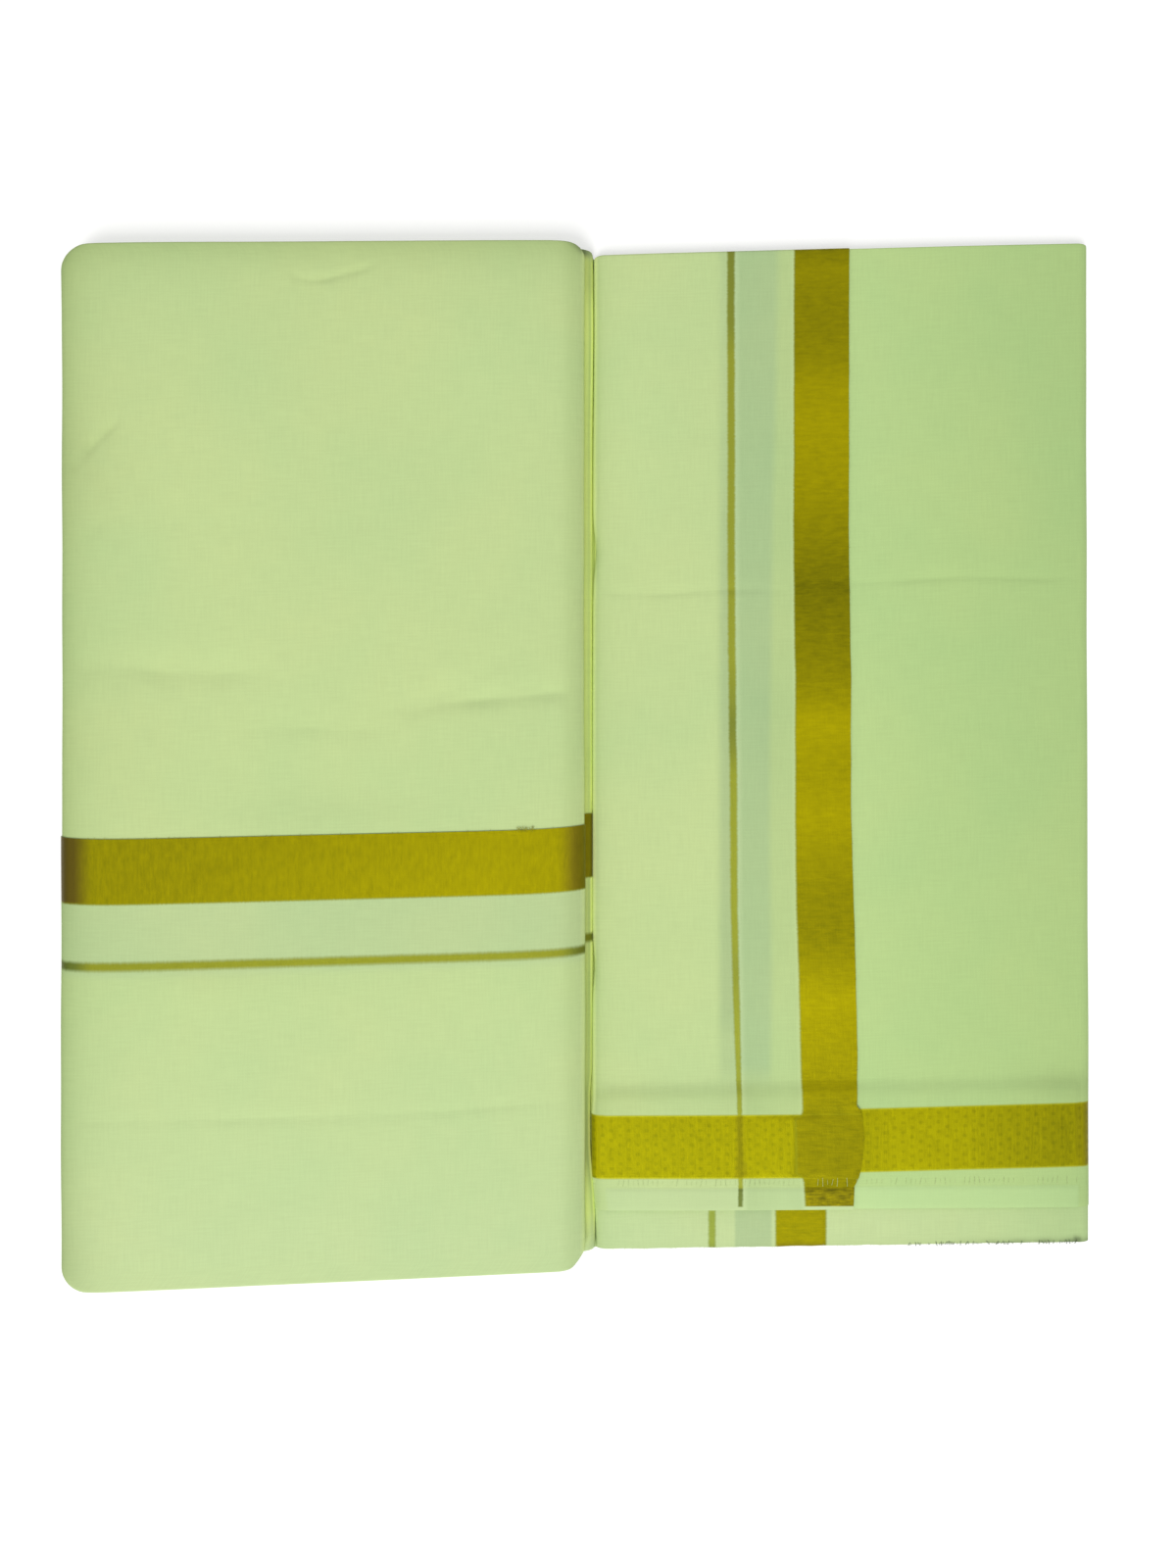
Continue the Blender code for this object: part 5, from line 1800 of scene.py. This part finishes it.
# %% Tone, with painted shade, and place in the weave of the back panel
band_rise = BAND_STEP + BAND_TILT * (x - BAND_FROM_X)
shine = np.interp(x, BAND_SHINE_X, BAND_SHINE)
in_hem = hem_share(y_rows) * on_top
# lighter in the hem, with painted shade along the ramp
lift = 1 + HEM_LIGHTER * in_hem - ramp_shade(x, y)
tone = blend(PANEL_NEAR, grade(x, BAND_FROM_X, RIGHT_X), PANEL_FAR)
tone = with_painted_light_and_shade(x, y, tuple(part * lift for part in tone))
thread = (0.5 + developed(x, z), y_rows - HEM_Y - band_rise, 1.0)
# painted shade browns the gold towards the right fold
place = (0.4 * near_fold(RIGHT_X - x), in_hem, 0.0)
back_panel = sheet_object("back_panel_sheet", x, y, z, thread, place, tone, shine,
                          PANEL_COTTON)

row = stitch_row(panel_y)
seen = (x[row] > edge[row] + 2 * MM) & on_top[0]
stitches = thread_row("panel_hem_stitches", x[row, seen], y[row, seen], z[row, seen],
                      COTTON_TREE, HEM_STITCHES)
declare(back_panel, "back_panel")

# %% [markdown]
# ### Lower layer
#
# Below the hem the next layer shows, with its own upright border a little further left.

# %% Lower layer
LOWER_EDGE_X = 154.2 * MM
LOWER_GOLD = 30.4 * MM
LOWER_LINE = 70.0 * MM
LOWER_COVERED = 26 * MM
Steps = namedtuple("Steps", "under fold top")
LOWER_STEPS = Steps(16, 18, 118)
LOWER_TOP_PART, LOWER_UNDER_PART = 2, 4    # places of these parts in a row
LOWER_STEP = 0.25 * MM        # at its woven edge

rows = row_heights(RIGHT_FOOT_Y, HEM_Y + LOWER_COVERED, ((-304, -294),))[:, None]
seam = SEAM_X + sway(rows, SEAM_SWAY)
x_left = seam + RIGHT_REACH - LOWER_SIDE
x_right = RIGHT_X - RIGHT_REACH + LOWER_SIDE + right_spread(rows)
half = LOWER_TOP / 2
reach = RIGHT_REACH - LOWER_SIDE
inner = 0.7 * MM * grade(rows, HEM_Y, HEM_Y + 2 * MM)
parts = [
    flat_run(SPLIT_X + HALF_GAP + 0.0 * rows, x_right, inner, LOWER_STEPS.under, "first"),
    arc(x_right, half, reach - inner, half - inner, -90, 90, LOWER_STEPS.fold),
    flat_run(x_right, x_left, LOWER_TOP - inner, LOWER_STEPS.top),
    arc(x_left, half, reach - inner, half - inner, 90, 270, LOWER_STEPS.fold),
    flat_run(x_left, SPLIT_X - HALF_GAP + 0.0 * rows, inner, LOWER_STEPS.under, "last"),
]
x, z, kind = side_by_side(parts, 0.0 * rows)
y_rows = rows + 0.0 * x
y = lean(y_rows, x, RIGHT_LEAN)
uncovered = grade(y_rows, HEM_Y, HEM_Y - 4 * MM) * (kind == LOWER_TOP_PART)
frayed = soft_waves(x, 0.0, 51, 0.05, 0.008, 0.25 * MM, 10)
y = y + np.abs(frayed) * (rows <= RIGHT_FOOT_Y + 0.1 * MM)
z = z + uncovered * soft_waves(x, y, 52, 0.12, 0.03, 0.12 * MM)
z = z + uncovered * LOWER_STEP * (grade(x, LOWER_EDGE_X, LOWER_EDGE_X - 1.0 * MM) - 0.5)
print(f"lower layer: {len(rows)} rows of {x.shape[1]} points")

# %% Tone, with painted shade and light, and place in the weave of the lower layer
LOWER_DROPS = (0.17, 0.11, 0.17)    # painted shade: darker and greener towards its right end
LOWER_BLUER = 1.08
LOWER_SHINE = 0.39
FOOT_SHADOW_DEEP = 0.55              # painted shadow of the layered cut ends, along the cut foot, in patches
FOOT_SHADOW_STEP = 5.3 * MM
# painted shadow in the corner of the layered cut ends, at the foot's right end
CORNER_SHADOW_X = 312 * MM
CORNER_SHADOW_DEEP = 0.7

away = np.where(kind == LOWER_UNDER_PART, LOWER_EDGE_X - 2 * x_left + x, LOWER_EDGE_X - x)
across = np.interp(away, [-1.0, 0.0, LOWER_GOLD, LOWER_LINE, LOWER_LINE + 0.3],
                   [-1.0, 0.0, WHOLE_GOLD, FINE_LINE.middle, FINE_LINE.middle + 0.3])
from_foot = y_rows - RIGHT_FOOT_Y
fold = np.maximum(near_fold(x - seam), near_fold(RIGHT_X - x))
thread = (across, y_rows, 1.0)
# the gold is browned by painted shade near both folds and along the cut foot
place = (np.maximum(fold, 0.5 * grade(from_foot, 3.5 * MM, 0.0)), 0.0, 0.0)
# painted shade beside the slot and along the cut foot
red, green, blue = darker(FLAP_SLOT_SHADE * fading(x - seam - 3 * MM, 6 * MM),
                          0.10 * fading(from_foot, 2.5 * MM) * grade(x, 0.0, 200 * MM))
shade_to_right = grade(x, 190 * MM, 315 * MM)
tone = tuple(part * (1 - drop * shade_to_right)
             for part, drop in zip((red, green, blue * LOWER_BLUER), LOWER_DROPS))
patches = grade(x, 225 * MM, 295 * MM) * (0.5 + 0.5 * np.sin(x / FOOT_SHADOW_STEP) ** 2)
foot_shadow = FOOT_SHADOW_DEEP * patches * bell(from_foot, 0.0, 2.6 * MM)
corner_shadow = CORNER_SHADOW_DEEP * bell(x, CORNER_SHADOW_X, 1.8 * MM) * bell(from_foot, 2 * MM, 2.2 * MM)
tone = with_painted_light_and_shade(x, y, tuple(part * (1 - foot_shadow) * (1 - corner_shadow) for part in tone))
# painted light on the fold beside the slot
tone = blend(tone, beside_slot(x - seam, y_rows), SLOT_RIGHT_PAINTED_LIGHT)
lower_layer = sheet_object("lower_layer_sheet", x, y, z, thread, place, tone, LOWER_SHINE,
                           LOWER_COTTON)
print(f"worn by up to {foot_shadow.max():.0%}")

# %% Loose ends along the cut foot, more and darker towards the right, where the dark threads are painted shadow of the layered cut ends
top = kind == LOWER_TOP_PART
foot = (x[0, top], y[0, top] + 0.3 * MM, z[0, top] - 0.2 * MM)
loose = thread_row("loose_ends", *foot, COTTON_TREE, LOOSE_ENDS)
right_end = slice(0, int(np.sum(foot[0] > 205 * MM)))
shaded = thread_row("shaded_loose_ends", *(part[right_end] for part in foot), DARK_TREE,
                    SHADED_ENDS)
declare(lower_layer, "lower_layer")

# %% [markdown]
# ### Layer edges of the thin leaf
#
# At the foot the hidden layers end in cut edges, and at the head they lie in folded pairs.

# %% Layer edges of the thin leaf
RIGHT_ENDS = (
    Ends(1.0 * MM, 1.9 * MM),
    Ends(2.6 * MM, 1.9 * MM),
    Ends(1.6 * MM, 3.0 * MM),
    Ends(3.2 * MM, 3.0 * MM),
)
EDGE_RINGS = 8


def right_ring(z, index, foot_cut, head_cut, above_ledge):
    """One level ring of the thin leaf's hidden layers."""
    reach = RIGHT_REACH - PITCH - LOWER_SIDE
    x_left = SEAM_X + RIGHT_REACH
    x_right = RIGHT_X - RIGHT_REACH
    ends = RIGHT_ENDS[index]
    foot_y = RIGHT_FOOT_Y + ends.foot + foot_cut
    if above_ledge:
        foot_y = HEM_Y + CLOTH
    else:
        side = bow(z, LOWER_TOP / 2, LOWER_TOP / 2 - PITCH, reach)
        x_left -= side
        x_right += side
    head_y = RIGHT_HEAD_Y - ends.head - head_cut
    x, y = ring_outline(x_left, x_right, foot_y, head_y, *[SOFT_CORNER] * 3)
    x = x + right_spread(y) * grade(x, 0.0, x_right) ** 4
    x = x + sway(y, SEAM_SWAY) * grade(x, x_left + 30 * MM, x_left)
    uneven = soft_waves(x, 0.0, 80 + index, 0.16, 0.02, 0.3 * MM, 9)
    y = with_uneven_ends(y, foot_y, head_y, np.clip(uneven, -0.6 * MM, 0.6 * MM), 6 * MM)
    return x, lean(y, x, RIGHT_LEAN), z + 0.0 * x


def right_across(x, y):
    """The hidden layers carry their border too, at the foot and at the head."""
    edge = np.where(y < 0, LOWER_EDGE_X, column(UPRIGHT_BORDER, "edge", RIGHT_HEAD_Y))
    return edge - x


# %% Rings of the thin leaf's stack
low = PITCH
ledge_z = LOWER_TOP - PITCH
layer_tall = (ledge_z - low) / len(RIGHT_ENDS)
rings = []
for layer, z, angle in bulges(low, layer_tall, len(RIGHT_ENDS), EDGE_RINGS):
    pair = math.pi * ((z - low) / (2 * layer_tall) % 1.0)
    rings.append(right_ring(z, layer, CLOTH * (1 - math.sin(angle) ** 0.5),
                            GROOVE * (1 - math.sin(pair) ** 0.6), False))
last = len(RIGHT_ENDS) - 1
rings.append(right_ring(ledge_z, last, CLOTH, GROOVE, False))
for z in (ledge_z + 0.01 * MM, PANEL_TOP - PITCH):
    rings.append(right_ring(z, last, 0.0, GROOVE, True))
layer_edges = stack_object("right_layer_edges", rings, LOWER_COTTON, right_across)
declare(layer_edges, "right_hidden_layers")

# %% [markdown]
# ## Between the leaves
#
# The cloth runs on from one leaf to the other, flat on the table under the two folds.

# %% Joining sheet
JOIN_PATH = ((12.9, 1.0), (11.2, 1.5), (10.3, 3.0), (9.9, 4.4), (9.5, 3.0), (8.0, 1.5),
             (6.2, 1.0))      # x and z of its upper face, from right to left
# painted light in the slot, giving way to painted shade at the foot and the head
JOIN_FOOT_TONE = (0.95, 0.97, 0.88)
JOIN_HEAD_TONE = (0.55, 0.58, 0.40)

turns = np.array(JOIN_PATH) * MM
sides = np.linspace(0.0, len(turns) - 1, 25)
rows = row_heights(JOIN_FOOT_Y - 14.4 * MM, JOIN_HEAD_Y + 10.5 * MM, step=5 * MM)[:, None]
x = np.interp(sides, range(len(turns)), turns[:, 0])[None, :] + 0.0 * rows
z = np.interp(sides, range(len(turns)), turns[:, 1])[None, :] + 0.0 * rows
y_rows = rows + 0.0 * x
y = lean(y_rows, x, RIGHT_LEAN)
thread = (0.5 + developed(x, z), y_rows, 1.0)
at_foot = grade(y_rows, JOIN_FOOT_Y + 15 * MM, JOIN_FOOT_Y - 5 * MM)
tone = blend(SLOT_PAINTED_LIGHT, at_foot, JOIN_FOOT_TONE)
tone = blend(tone, grade(y_rows, JOIN_HEAD_Y, JOIN_HEAD_Y + 5 * MM), JOIN_HEAD_TONE)
joining = sheet_object("joining_sheet", x, y, z, thread, (0.8, 0.0, 0.0), tone,
                       0.7, PLAIN_COTTON)
declare(joining, "joining_fold")
